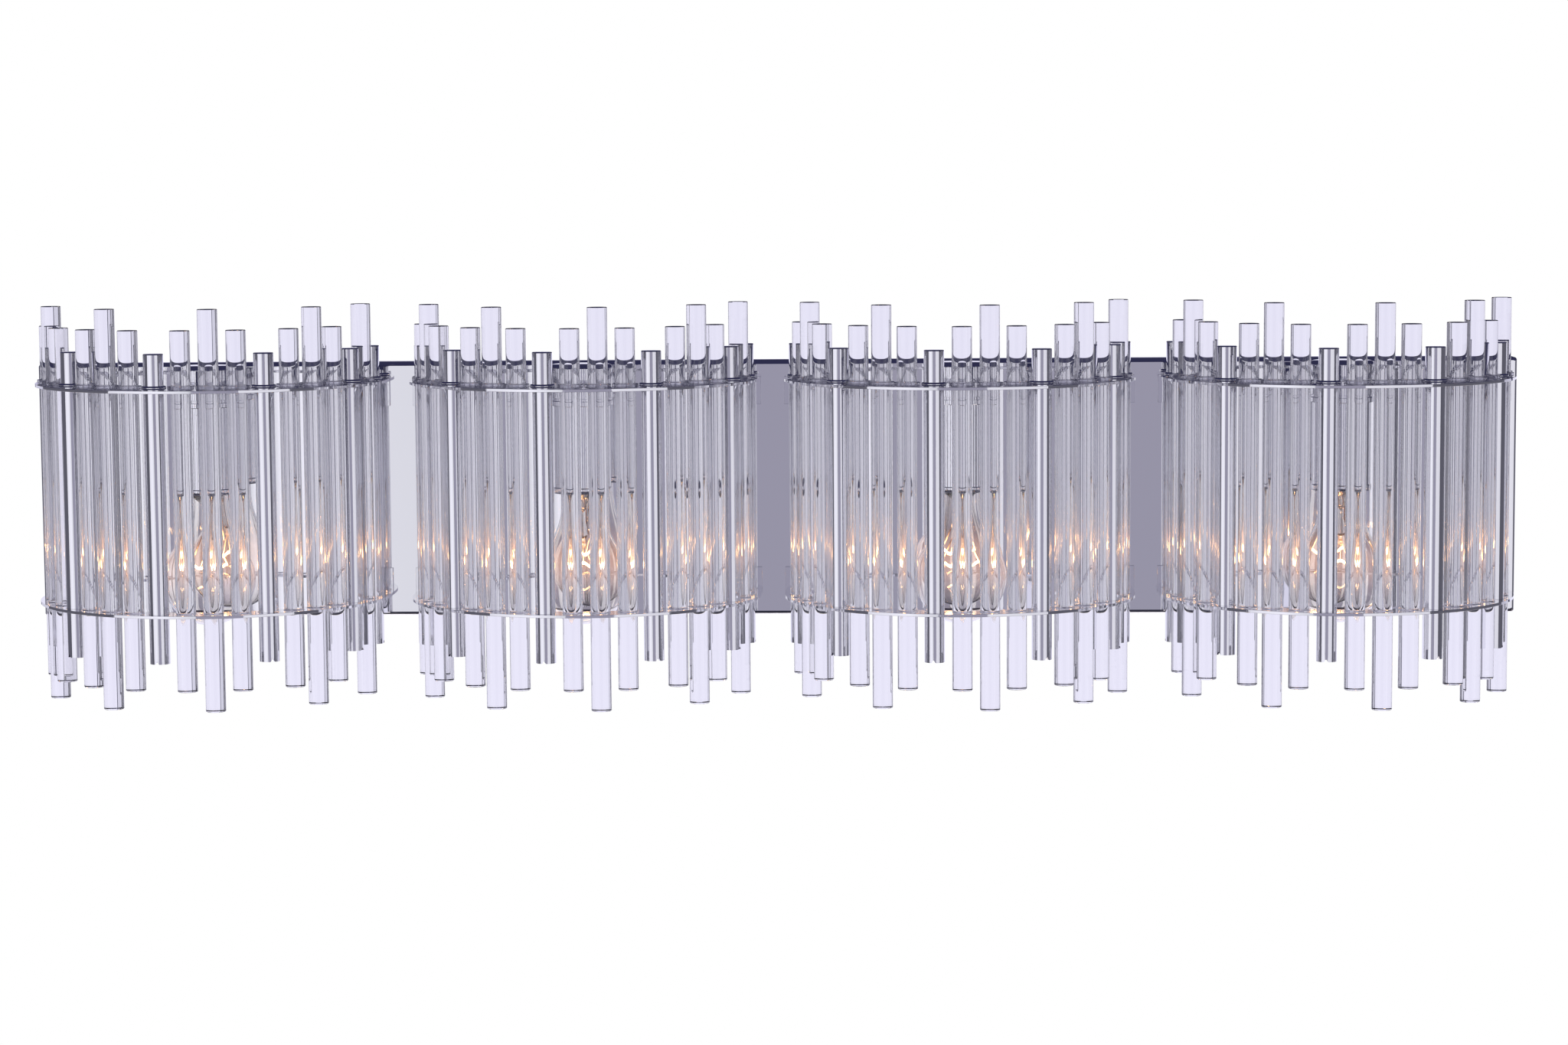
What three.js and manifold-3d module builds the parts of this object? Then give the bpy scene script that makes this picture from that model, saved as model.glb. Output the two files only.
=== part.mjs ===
// Four-light wall vanity bar: a shallow mirror-finish back pan that carries four half-drum shades
// of upright glass rods and chrome tubes, each with a base-up bulb in a sleeved socket.
// Millimetres. The wall is the plane y = 0, the front looks along -Y, +X runs along the bar,
// +Z is up, and the origin is the middle of the pan on the wall.

import * as THREE from 'three';
import { mergeVertices } from 'three/addons/utils/BufferGeometryUtils.js';
import Module from 'manifold-3d';

const wasm = await Module();
wasm.setup();

// Fit between pieces that rest on or pass through each other
const GAP = 0.3;
const HOLE_CLEARANCE = 0.45;
// How far a joining or cutting solid runs past the face it meets
const OVERLAP = 1;

// Back pan
const PAN_WIDTH = 970;
const PAN_HEIGHT = 167;
const PAN_DEPTH = 25;
const PAN_SHEET = 1.2;

// Shades
const SHADE_COUNT = 4;
const SHADE_PITCH = 244.3;
const ARC_TO_PAN = 12;
const ROD_CIRCLE_RADIUS = 104.6;
const ROD_STEP = THREE.MathUtils.degToRad(9.53);
// M is a metal tube, T a tall glass rod and S a short glass rod, from left to right
const ROD_PATTERN = 'MSTSMSTSMSTSMSTSMTM';
const GLASS_GROUPS = [[1, 2, 3], [5, 6, 7], [9, 10, 11], [13, 14, 15], [17]];
const ROD_RADIUS = 6.35;
const ROD_SIDES = 8;
const TOP_OF = { T: 124, S: 110.8, M: 96.2 };
const BOTTOM_OF = { T: -130, S: -117.2, M: -99.4 };
const TUBE_BORE_RADIUS = 5.1;
const TUBE_BORE_SIDES = 6;
const TUBE_CAP = 2;

// Bands
const BAND_OUTER_RADIUS = 114.6;
const BAND_WIDTH = 20;
const BAND_THICKNESS = 1.8;
const BAND_STEPS = 16;
const TOP_BAND_Z = 71.6;
const BOTTOM_BAND_Z = -69.9;
const TAB_HEIGHT = 18;

// Collars that hang the rods from the top band
const COLLAR_RADIUS = 8.3;
const COLLAR_THICKNESS = 2.4;
const FLANGE_RADIUS = 7.9;
const FLANGE_THICKNESS = 2.5;

// Socket: arm, cup, sleeve and lampholder on one upright axis
const BULB_TO_PAN = 40;
const ARM_Z = 71;
const ARM_RADIUS = 6.5;
const ARM_FLANGE_RADIUS = 11;
const ARM_FLANGE_THICKNESS = 2;
const NIPPLE_RADIUS = 4.8;
const NIPPLE_LENGTH = 9;
const CUP_RADIUS = 20.5;
const CUP_WALL = 1.2;
const CUP_TOP = 84.4;
const CUP_BOTTOM = 58;
const CUP_BEVEL = 2.5;
const SLEEVE_RADIUS = 18.75;
const SLEEVE_WALL = 0.8;
const SLEEVE_TOP = 76;
const SLEEVE_BOTTOM = 1.4;
const HOLDER_RADIUS = 16.6;
const HOLDER_BORE_RADIUS = 13.8;
const HOLDER_TOP = 52;
const HOLDER_FLOOR = 30;
const HOLDER_BOTTOM = 3;
const STEM_RADIUS = 5;

// Bulb: 60 mm pear with a 26 mm screw base
const BULB_RADIUS = 30;
const BULB_BOTTOM = -84.4;
const BULB_WALL = 0.8;
const BULB_SPHERE_STEPS = 5;
const BULB_SHOULDER_STEPS = 3;
const BULB_SHOULDER_ANGLE = THREE.MathUtils.degToRad(35);
const BULB_SHOULDER_LEAD = 12;
const NECK_RADIUS = 13.4;
const NECK_START = -4;
const NECK_CURVE_LEAD = 12;
const NECK_TOP = 1.1;
const BASE_RADIUS = 13.1;
const BASE_WALL = 0.7;
const BASE_BOTTOM = 1.4;
const BASE_SHELL_TOP = 22;
const BASE_TOP = 27;
const CONTACT_RADIUS = 4.5;
const CONTACT_THICKNESS = 1;
const FILAMENT_Z = -45;
const FILAMENT_HALF_SPAN = 12;
const FILAMENT_RADIUS = 0.6;
const LEAD_RADIUS = 0.5;
const MOUNT_STEM_RADIUS = 3.2;
const MOUNT_STEM_TOP = 0.5;
const MOUNT_STEM_BOTTOM = -27;

// Wall bracket, studs and nuts
const BRACKET_LENGTH = 150;
const BRACKET_HEIGHT = 30;
const BRACKET_THICKNESS = 2;
const STUD_X = 57;
const STUD_RADIUS = 2.1;
const STUD_FRONT = 33;
const LOCK_NUT_RADIUS = 4.6;
const LOCK_NUT_THICKNESS = 2.8;
const CAP_NUT_RADIUS = 6;
const CAP_NUT_LENGTH = 12;
const CAP_NUT_BORE_DEPTH = 9.5;
const CAP_NUT_RINGS = 8;
const HEX_SIDES = 6;
const SCREW_SIDES = 8;
const ROUND_SIDES = 12;
const GROUND_SCREW_X = 20;
const GROUND_SCREW_HEAD_RADIUS = 4.2;
const GROUND_SCREW_HEAD = 3;

const chrome = new THREE.MeshStandardMaterial({ color: 0xd6d6de, roughness: 0.08, metalness: 1 });
const mirror = new THREE.MeshStandardMaterial({ color: 0xe4e4ec, roughness: 0.03, metalness: 1 });
const glass = new THREE.MeshStandardMaterial({ color: 0xe6e6f4, roughness: 0.03, opacity: 0.4 });
glass.transparent = true;
const bulbGlass = new THREE.MeshStandardMaterial({ color: 0xfff4e4, roughness: 0.03, opacity: 0.3 });
bulbGlass.transparent = true;
const brass = new THREE.MeshStandardMaterial({ color: 0xc9a75f, roughness: 0.3, metalness: 1 });
const tungsten = new THREE.MeshStandardMaterial({ color: 0xffd9a0, roughness: 0.5, metalness: 0.6 });
const phenolic = new THREE.MeshStandardMaterial({ color: 0x1c1c1e, roughness: 0.55 });
const zinc = new THREE.MeshStandardMaterial({ color: 0xa9adb0, roughness: 0.4, metalness: 1 });

// Points on an arc about (x, y), measured from the front (-Y) towards +X
function arcPoints(radius, from, to, steps, x = 0, y = 0) {
  const points = [];
  for (let i = 0; i <= steps; i += 1) {
    const angle = from + ((to - from) * i) / steps;
    points.push(new THREE.Vector2(x + radius * Math.sin(angle), y - radius * Math.cos(angle)));
  }
  return points;
}

function circlePoints(radius, sides, x = 0, y = 0) {
  return arcPoints(radius, 0, 2 * Math.PI, sides, x, y).slice(1);
}

// Upright prism of an outline with round holes, between two heights
function prism(points, low, high, holes = []) {
  const shape = new THREE.Shape(points);
  for (const hole of holes) {
    shape.holes.push(new THREE.Path(hole));
  }
  const geometry = new THREE.ExtrudeGeometry(shape, { depth: high - low, bevelEnabled: false });
  return geometry.translate(0, 0, low);
}

function box(low, high) {
  const size = high.map((value, axis) => value - low[axis]);
  const middle = high.map((value, axis) => (value + low[axis]) / 2);
  return new THREE.BoxGeometry(...size).translate(...middle);
}

// Round bar along Y between two y values
function barAlongY(radius, sides, from, to, x, z) {
  const bar = new THREE.CylinderGeometry(radius, radius, Math.abs(to - from), sides);
  return bar.translate(x, (from + to) / 2, z);
}

// Profile of [radius, height] pairs turned about the upright axis
function turned(profile, sides) {
  const points = profile.map(([radius, height]) => new THREE.Vector2(radius, height));
  return new THREE.LatheGeometry(points, sides).rotateX(Math.PI / 2);
}

function toSolid(geometry) {
  const bare = geometry.clone();
  bare.deleteAttribute('normal');
  bare.deleteAttribute('uv');
  const merged = mergeVertices(bare, 1e-4);
  const mesh = new wasm.Mesh({
    numProp: 3,
    vertProperties: merged.attributes.position.array,
    triVerts: Uint32Array.from(merged.index.array),
  });
  mesh.merge();
  return new wasm.Manifold(mesh);
}

function toGeometry(solid) {
  const mesh = solid.getMesh();
  const geometry = new THREE.BufferGeometry();
  geometry.setAttribute('position', new THREE.BufferAttribute(mesh.vertProperties, 3));
  geometry.setIndex(new THREE.BufferAttribute(mesh.triVerts, 1));
  geometry.computeVertexNormals();
  return geometry;
}

function joined(pieces, cuts = []) {
  let solid = toSolid(pieces[0]);
  for (const piece of pieces.slice(1)) {
    solid = solid.add(toSolid(piece));
  }
  for (const cut of cuts) {
    solid = solid.subtract(toSolid(cut));
  }
  return toGeometry(solid);
}

function add(group, name, geometry, material) {
  const mesh = new THREE.Mesh(geometry, material);
  mesh.name = name;
  group.add(mesh);
}

function rodAngle(index) {
  return (index - (ROD_PATTERN.length - 1) / 2) * ROD_STEP;
}

function rodCircle(index, radius, sides = ROD_SIDES) {
  const x = ROD_CIRCLE_RADIUS * Math.sin(rodAngle(index));
  const y = -ROD_CIRCLE_RADIUS * Math.cos(rodAngle(index));
  return circlePoints(radius, sides, x, y);
}

function indexesOf(kinds) {
  return [...ROD_PATTERN].map((kind, index) => index).filter((index) => kinds.includes(ROD_PATTERN[index]));
}

// Flat half-ring that runs straight back to the pan at both ends, with a tab bent flat against the pan
function bandPieces(low, tabLow, holeIndexes) {
  const inner = BAND_OUTER_RADIUS - BAND_WIDTH;
  const back = ARC_TO_PAN - GAP;
  const outline = [
    new THREE.Vector2(-BAND_OUTER_RADIUS, back),
    ...arcPoints(BAND_OUTER_RADIUS, -Math.PI / 2, Math.PI / 2, BAND_STEPS),
    new THREE.Vector2(BAND_OUTER_RADIUS, back),
    new THREE.Vector2(inner, back),
    ...arcPoints(inner, Math.PI / 2, -Math.PI / 2, BAND_STEPS),
    new THREE.Vector2(-inner, back),
  ];
  const holes = holeIndexes.map((index) => rodCircle(index, ROD_RADIUS + HOLE_CLEARANCE));
  const pieces = [prism(outline, low, low + BAND_THICKNESS, holes)];
  for (const side of [-1, 1]) {
    const near = Math.min(side * inner, side * BAND_OUTER_RADIUS);
    pieces.push(box([near, back - BAND_THICKNESS, tabLow], [near + BAND_WIDTH, back, tabLow + TAB_HEIGHT]));
  }
  return pieces;
}

function topBand() {
  const tabLow = TOP_BAND_Z + BAND_THICKNESS - TAB_HEIGHT;
  return joined(bandPieces(TOP_BAND_Z, tabLow, indexesOf('MST')));
}

// Bottom band with the six chrome tubes brazed through it; each tube hangs by a flange on the top band
function tubeCage() {
  const pieces = bandPieces(BOTTOM_BAND_Z, BOTTOM_BAND_Z, indexesOf('ST'));
  const bores = [];
  const flangeLow = TOP_BAND_Z + BAND_THICKNESS + GAP;
  for (const index of indexesOf('M')) {
    pieces.push(prism(rodCircle(index, ROD_RADIUS), BOTTOM_OF.M, TOP_OF.M));
    pieces.push(prism(rodCircle(index, FLANGE_RADIUS), flangeLow, flangeLow + FLANGE_THICKNESS));
    const bore = rodCircle(index, TUBE_BORE_RADIUS, TUBE_BORE_SIDES);
    bores.push(prism(bore, BOTTOM_OF.M - OVERLAP, TOP_OF.M - TUBE_CAP));
  }
  return joined(pieces, bores);
}

// Neighbouring glass rods with the strip of collars that they hang by
function glassGroup(indexes) {
  const reach = COLLAR_RADIUS / ROD_CIRCLE_RADIUS;
  const from = rodAngle(indexes[0]) - reach;
  const to = rodAngle(indexes[indexes.length - 1]) + reach;
  const strip = [
    ...arcPoints(ROD_CIRCLE_RADIUS + COLLAR_RADIUS, from, to, indexes.length),
    ...arcPoints(ROD_CIRCLE_RADIUS - COLLAR_RADIUS, to, from, indexes.length),
  ];
  const stripLow = TOP_BAND_Z + BAND_THICKNESS + GAP;
  const pieces = [prism(strip, stripLow, stripLow + COLLAR_THICKNESS)];
  for (const index of indexes) {
    const kind = ROD_PATTERN[index];
    pieces.push(prism(rodCircle(index, ROD_RADIUS), BOTTOM_OF[kind], TOP_OF[kind]));
  }
  return joined(pieces);
}

// Inverted cup on a horizontal arm whose threaded end passes through the pan
function socketCup() {
  const inside = CUP_RADIUS - CUP_WALL;
  const cup = turned([
    [0, CUP_TOP - CUP_WALL],
    [inside - CUP_BEVEL, CUP_TOP - CUP_WALL],
    [inside, CUP_TOP - CUP_WALL - CUP_BEVEL],
    [inside, CUP_BOTTOM],
    [CUP_RADIUS, CUP_BOTTOM],
    [CUP_RADIUS, CUP_TOP - CUP_BEVEL],
    [CUP_RADIUS - CUP_BEVEL, CUP_TOP],
    [0, CUP_TOP],
  ], ROUND_SIDES);
  const panFace = BULB_TO_PAN - GAP;
  const flangeFace = panFace - ARM_FLANGE_THICKNESS;
  const arm = barAlongY(ARM_RADIUS, ROUND_SIDES, CUP_RADIUS - CUP_WALL, panFace, 0, ARM_Z);
  const flange = barAlongY(ARM_FLANGE_RADIUS, ROUND_SIDES, flangeFace, panFace, 0, ARM_Z);
  const nipple = barAlongY(NIPPLE_RADIUS, SCREW_SIDES, panFace - OVERLAP, panFace + NIPPLE_LENGTH, 0, ARM_Z);
  return joined([cup, arm, flange, nipple], [turned([
    [0, CUP_BOTTOM - OVERLAP],
    [inside, CUP_BOTTOM - OVERLAP],
    [inside, CUP_TOP - CUP_WALL - CUP_BEVEL],
    [inside - CUP_BEVEL, CUP_TOP - CUP_WALL],
    [0, CUP_TOP - CUP_WALL],
  ], ROUND_SIDES)]);
}

function socketSleeve() {
  return turned([
    [SLEEVE_RADIUS - SLEEVE_WALL, SLEEVE_BOTTOM],
    [SLEEVE_RADIUS, SLEEVE_BOTTOM],
    [SLEEVE_RADIUS, SLEEVE_TOP],
    [SLEEVE_RADIUS - SLEEVE_WALL, SLEEVE_TOP],
    [SLEEVE_RADIUS - SLEEVE_WALL, SLEEVE_BOTTOM],
  ], ROUND_SIDES);
}

// Moulded lampholder, open downwards, on a stem that reaches the top of the cup
function lampholder() {
  const stemTop = CUP_TOP - CUP_WALL - GAP;
  return turned([
    [0, HOLDER_FLOOR],
    [HOLDER_BORE_RADIUS, HOLDER_FLOOR],
    [HOLDER_BORE_RADIUS, HOLDER_BOTTOM],
    [HOLDER_RADIUS, HOLDER_BOTTOM],
    [HOLDER_RADIUS, HOLDER_TOP],
    [STEM_RADIUS, HOLDER_TOP],
    [STEM_RADIUS, stemTop],
    [0, stemTop],
  ], ROUND_SIDES);
}

// Half profile of the bulb at a distance inside its outer surface: sphere, shoulder curve, neck
function bulbProfile(inset) {
  const radius = BULB_RADIUS - inset;
  const centre = BULB_BOTTOM + BULB_RADIUS;
  const neck = NECK_RADIUS - inset;
  const profile = [];
  for (let i = 0; i <= BULB_SPHERE_STEPS; i += 1) {
    const angle = -Math.PI / 2 + ((Math.PI / 2 + BULB_SHOULDER_ANGLE) * i) / BULB_SPHERE_STEPS;
    profile.push([i === 0 ? 0 : radius * Math.cos(angle), centre + radius * Math.sin(angle)]);
  }
  const [startRadius, startZ] = profile[profile.length - 1];
  const shoulder = new THREE.CubicBezierCurve(
    new THREE.Vector2(startRadius, startZ),
    new THREE.Vector2(
      startRadius - BULB_SHOULDER_LEAD * Math.sin(BULB_SHOULDER_ANGLE),
      startZ + BULB_SHOULDER_LEAD * Math.cos(BULB_SHOULDER_ANGLE),
    ),
    new THREE.Vector2(neck, NECK_START - NECK_CURVE_LEAD),
    new THREE.Vector2(neck, NECK_START),
  );
  for (const point of shoulder.getPoints(BULB_SHOULDER_STEPS).slice(1)) {
    profile.push([point.x, point.y]);
  }
  profile.push([neck, NECK_TOP]);
  return profile;
}

function bulbShell() {
  return turned([...bulbProfile(0), ...bulbProfile(BULB_WALL).reverse()], ROUND_SIDES);
}

// Screw shell, insulator and centre contact, hollow from below
function bulbBase() {
  const inside = BASE_RADIUS - BASE_WALL;
  return turned([
    [0, BASE_SHELL_TOP - BASE_WALL],
    [inside, BASE_SHELL_TOP - BASE_WALL],
    [inside, BASE_BOTTOM],
    [BASE_RADIUS, BASE_BOTTOM],
    [BASE_RADIUS, BASE_SHELL_TOP],
    [CONTACT_RADIUS, BASE_TOP - CONTACT_THICKNESS],
    [CONTACT_RADIUS, BASE_TOP],
    [0, BASE_TOP],
  ], ROUND_SIDES);
}

// Glass stem, two lead wires and the filament between them
function filamentMount() {
  const stem = prism(circlePoints(MOUNT_STEM_RADIUS, 8), MOUNT_STEM_BOTTOM, MOUNT_STEM_TOP);
  const span = FILAMENT_HALF_SPAN;
  const pieces = [stem];
  for (const [radius, low] of [[LEAD_RADIUS, MOUNT_STEM_BOTTOM], [FILAMENT_RADIUS, FILAMENT_Z]]) {
    pieces.push(box([-span, -radius, low], [span, radius, low + 2 * radius]));
  }
  for (const side of [-1, 1]) {
    const middle = side * (span - LEAD_RADIUS);
    const low = [middle - LEAD_RADIUS, -LEAD_RADIUS, FILAMENT_Z];
    pieces.push(box(low, [middle + LEAD_RADIUS, LEAD_RADIUS, MOUNT_STEM_BOTTOM + LEAD_RADIUS]));
  }
  return joined(pieces);
}

// One shade about its arc centre
function shade(number) {
  const group = new THREE.Group();
  add(group, `shade_${number}_top_band`, topBand(), chrome);
  add(group, `shade_${number}_tube_cage`, tubeCage(), chrome);
  GLASS_GROUPS.forEach((indexes, place) => {
    add(group, `shade_${number}_glass_rods_${'abcde'[place]}`, glassGroup(indexes), glass);
  });
  return group;
}

// One socket and bulb about the bulb axis
function light(number) {
  const group = new THREE.Group();
  add(group, `socket_${number}_cup`, socketCup(), chrome);
  add(group, `socket_${number}_sleeve`, socketSleeve(), chrome);
  add(group, `socket_${number}_lampholder`, lampholder(), phenolic);
  add(group, `bulb_${number}_glass`, bulbShell(), bulbGlass);
  add(group, `bulb_${number}_base`, bulbBase(), brass);
  add(group, `bulb_${number}_filament`, filamentMount(), tungsten);
  return group;
}

function shadeX(number) {
  return (number - (SHADE_COUNT + 1) / 2) * SHADE_PITCH;
}

// Folded sheet pan, open to the wall, with a hole for each arm and each stud
function backPan() {
  const shell = box([-PAN_WIDTH / 2, -PAN_DEPTH, -PAN_HEIGHT / 2], [PAN_WIDTH / 2, 0, PAN_HEIGHT / 2]);
  const hollow = box(
    [PAN_SHEET - PAN_WIDTH / 2, PAN_SHEET - PAN_DEPTH, PAN_SHEET - PAN_HEIGHT / 2],
    [PAN_WIDTH / 2 - PAN_SHEET, 1, PAN_HEIGHT / 2 - PAN_SHEET],
  );
  const holeAt = (radius, x, z) => {
    const front = -PAN_DEPTH - OVERLAP;
    const back = OVERLAP - PAN_DEPTH + PAN_SHEET;
    return barAlongY(radius + HOLE_CLEARANCE, SCREW_SIDES, front, back, x, z);
  };
  const cuts = [hollow];
  for (let number = 1; number <= SHADE_COUNT; number += 1) {
    cuts.push(holeAt(NIPPLE_RADIUS, shadeX(number), ARM_Z));
  }
  for (const side of [-1, 1]) {
    cuts.push(holeAt(STUD_RADIUS, side * STUD_X, 0));
  }
  return joined([shell], cuts);
}

// Flat steel strip against the wall that the studs and the ground screw stand in
function wallBracket() {
  const strip = box(
    [-BRACKET_LENGTH / 2, -BRACKET_THICKNESS, -BRACKET_HEIGHT / 2],
    [BRACKET_LENGTH / 2, 0, BRACKET_HEIGHT / 2],
  );
  const radius = STUD_RADIUS + HOLE_CLEARANCE;
  const front = -BRACKET_THICKNESS - OVERLAP;
  const holes = [-STUD_X, STUD_X, GROUND_SCREW_X];
  return joined([strip], holes.map((x) => barAlongY(radius, SCREW_SIDES, front, OVERLAP, x, 0)));
}

function stud(x) {
  const rod = barAlongY(STUD_RADIUS, SCREW_SIDES, -GAP, -STUD_FRONT, x, 0);
  const nutBack = -BRACKET_THICKNESS - GAP;
  const nut = barAlongY(LOCK_NUT_RADIUS, HEX_SIDES, nutBack, nutBack - LOCK_NUT_THICKNESS, x, 0);
  return joined([rod, nut]);
}

function capNut(x) {
  const back = -PAN_DEPTH - GAP;
  const crown = back - CAP_NUT_LENGTH + CAP_NUT_RADIUS;
  const sphere = new THREE.SphereGeometry(CAP_NUT_RADIUS, ROUND_SIDES, CAP_NUT_RINGS).translate(x, crown, 0);
  const skirt = barAlongY(CAP_NUT_RADIUS, ROUND_SIDES, back, crown, x, 0);
  const boreRadius = STUD_RADIUS + HOLE_CLEARANCE;
  const bore = barAlongY(boreRadius, SCREW_SIDES, back + OVERLAP, back - CAP_NUT_BORE_DEPTH, x, 0);
  return joined([skirt, sphere], [bore]);
}

function groundScrew() {
  const headBack = -BRACKET_THICKNESS - GAP;
  const headFront = headBack - GROUND_SCREW_HEAD;
  const head = barAlongY(GROUND_SCREW_HEAD_RADIUS, HEX_SIDES, headBack, headFront, GROUND_SCREW_X, 0);
  const shank = barAlongY(STUD_RADIUS, SCREW_SIDES, -GAP, headBack - OVERLAP, GROUND_SCREW_X, 0);
  return joined([head, shank]);
}

const lightBar = new THREE.Group();
add(lightBar, 'back_pan', backPan(), mirror);
add(lightBar, 'wall_bracket', wallBracket(), zinc);
add(lightBar, 'stud_left', stud(-STUD_X), zinc);
add(lightBar, 'stud_right', stud(STUD_X), zinc);
add(lightBar, 'cap_nut_left', capNut(-STUD_X), chrome);
add(lightBar, 'cap_nut_right', capNut(STUD_X), chrome);
add(lightBar, 'ground_screw', groundScrew(), brass);
for (let number = 1; number <= SHADE_COUNT; number += 1) {
  const drum = shade(number);
  drum.position.set(shadeX(number), -PAN_DEPTH - ARC_TO_PAN, 0);
  lightBar.add(drum);
  const lamp = light(number);
  lamp.position.set(shadeX(number), -PAN_DEPTH - BULB_TO_PAN, 0);
  lightBar.add(lamp);
}

export default lightBar;
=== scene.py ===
"""Four-light wall vanity bar: a mirror-finish back pan, four half-drum shades of upright glass rods
and chrome tubes hung on flat rings, and a lit base-up bulb in a chrome sleeve inside each shade."""

import math

import bmesh
import bpy
import numpy as np
from mathutils import Matrix, Vector


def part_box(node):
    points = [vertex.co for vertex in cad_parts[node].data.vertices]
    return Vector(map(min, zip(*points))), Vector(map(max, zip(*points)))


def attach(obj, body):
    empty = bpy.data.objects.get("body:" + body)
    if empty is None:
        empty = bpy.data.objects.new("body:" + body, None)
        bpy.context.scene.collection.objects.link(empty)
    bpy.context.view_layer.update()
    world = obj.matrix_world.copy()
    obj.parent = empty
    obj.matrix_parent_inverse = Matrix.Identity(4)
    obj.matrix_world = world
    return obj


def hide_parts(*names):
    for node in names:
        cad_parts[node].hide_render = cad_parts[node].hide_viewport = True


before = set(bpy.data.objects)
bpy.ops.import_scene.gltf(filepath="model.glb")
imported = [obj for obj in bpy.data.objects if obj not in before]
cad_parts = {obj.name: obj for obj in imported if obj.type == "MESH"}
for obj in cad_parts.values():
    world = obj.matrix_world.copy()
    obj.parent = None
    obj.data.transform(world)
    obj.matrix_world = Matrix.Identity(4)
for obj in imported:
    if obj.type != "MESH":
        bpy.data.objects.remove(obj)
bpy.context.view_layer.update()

MM = 0.001
SHADES = (1, 2, 3, 4)

# ---------------------------------------------------------------------------------------------
# Camera: a long lens a little above the bar and right of its middle, turned slightly left and
# down, and rolled by less than half a degree.

CAMERA_PLACE = Vector((0.0870, -2.3392, 0.2095))
CAMERA_YAW = -0.0346
CAMERA_PITCH = 0.1000
CAMERA_ROLL = -0.0070
CAMERA_LENS = 81.2
CAMERA_SENSOR = 36.0
CAMERA_NEAR = 0.05
CAMERA_FAR = 50.0


def camera_axes(yaw, pitch, roll):
    """Right, up and backward directions of a camera that starts along +Y with +Z up: yaw turns it
    towards +X, pitch tips it down, and roll turns it about the line of sight."""
    ahead = math.cos(pitch)
    forward = Vector((math.sin(yaw) * ahead, math.cos(yaw) * ahead, -math.sin(pitch)))
    level = Vector((math.cos(yaw), -math.sin(yaw), 0.0))
    upright = level.cross(forward)
    right = math.cos(roll) * level + math.sin(roll) * upright
    up = math.cos(roll) * upright - math.sin(roll) * level
    return right, up, -forward


right, up, backward = camera_axes(CAMERA_YAW, CAMERA_PITCH, CAMERA_ROLL)
camera = bpy.data.objects.new("camera", bpy.data.cameras.new("camera"))
camera.data.lens = CAMERA_LENS
camera.data.sensor_width = CAMERA_SENSOR
camera.data.clip_start = CAMERA_NEAR
camera.data.clip_end = CAMERA_FAR
camera.matrix_world = Matrix((
    (right.x, up.x, backward.x, CAMERA_PLACE.x),
    (right.y, up.y, backward.y, CAMERA_PLACE.y),
    (right.z, up.z, backward.z, CAMERA_PLACE.z),
    (0.0, 0.0, 0.0, 1.0),
))
bpy.context.scene.collection.objects.link(camera)
bpy.context.scene.camera = camera

# ---------------------------------------------------------------------------------------------
# Studio: the world is plain white to the camera, and dark or grey by height to everything that
# reflects it. Glowing sheets in front of the bar and behind it, which only the chrome and the
# glass show, give them their bright and dark bands.

HIGH_DARK = (0.03, 0.03, 0.075)
AMBIENT = (0.12, 0.118, 0.15)
LOW_DARK = (0.03, 0.03, 0.055)
BELOW = (0.66, 0.60, 0.57)
# Height of each tone on the world's sphere, from 0 straight down to 1 straight up.
WORLD_TONES = ((0.22, BELOW), (0.25, LOW_DARK), (0.32, LOW_DARK), (0.35, AMBIENT),
               (0.60, AMBIENT), (0.66, HIGH_DARK))
scene = bpy.context.scene
scene.view_settings.view_transform = "Standard"
scene.cycles.max_bounces = 28
scene.cycles.transmission_bounces = 26
scene.cycles.glossy_bounces = 14
scene.cycles.transparent_max_bounces = 24


def add_nodes(tree, *kinds):
    """New shader nodes of those kinds in a tree, in that order."""
    return [tree.nodes.new("ShaderNode" + kind) for kind in kinds]


def fill(node, values):
    """Sets a node's own values, given by the names or numbers of its inputs."""
    for socket, value in values.items():
        node.inputs[socket].default_value = value


def join(tree, *pairs):
    """Links nodes in a tree: each pair is a node, its output, the next node and its input."""
    for source, given_by, target, taken_by in pairs:
        tree.links.new(source.outputs[given_by], target.inputs[taken_by])


def show(name, mesh, material):
    """An object of the studio from a mesh and its material, kept apart from the light bar."""
    mesh.materials.append(material)
    made = bpy.data.objects.new(name, mesh)
    scene.collection.objects.link(made)
    return made


def sheet_mesh(name, corners):
    """One flat face through those corners."""
    mesh = bpy.data.meshes.new(name)
    mesh.from_pydata(corners, [], [tuple(range(len(corners)))])
    return mesh


def new_material(name):
    """A material with its principled shader, returned with its node tree."""
    material = bpy.data.materials.new(name)
    material.use_nodes = True
    return material, material.node_tree, material.node_tree.nodes["Principled BSDF"]


world = bpy.data.worlds.new("white_room")
scene.world = world
world.use_nodes = True
tree = world.node_tree
tree.nodes.clear()
direction, split, height, ramp, seen, room, white, choice, output = add_nodes(
    tree, "TexCoord", "SeparateXYZ", "MapRange", "ValToRGB", "LightPath", "Background",
    "Background", "MixShader", "OutputWorld")
fill(height, {"From Min": -1.0})
fill(white, {"Color": (1.0, 1.0, 1.0, 1.0)})
ramp.color_ramp.elements[0].color = (*BELOW, 1.0)
ramp.color_ramp.elements[1].color = (*HIGH_DARK, 1.0)
for position, colour in WORLD_TONES:
    ramp.color_ramp.elements.new(position).color = (*colour, 1.0)
join(tree, (direction, "Generated", split, 0), (split, "Z", height, "Value"),
     (height, "Result", ramp, "Fac"), (ramp, "Color", room, "Color"),
     (seen, "Is Camera Ray", choice, "Fac"), (room, 0, choice, 1), (white, 0, choice, 2),
     (choice, 0, output, "Surface"))


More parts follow.
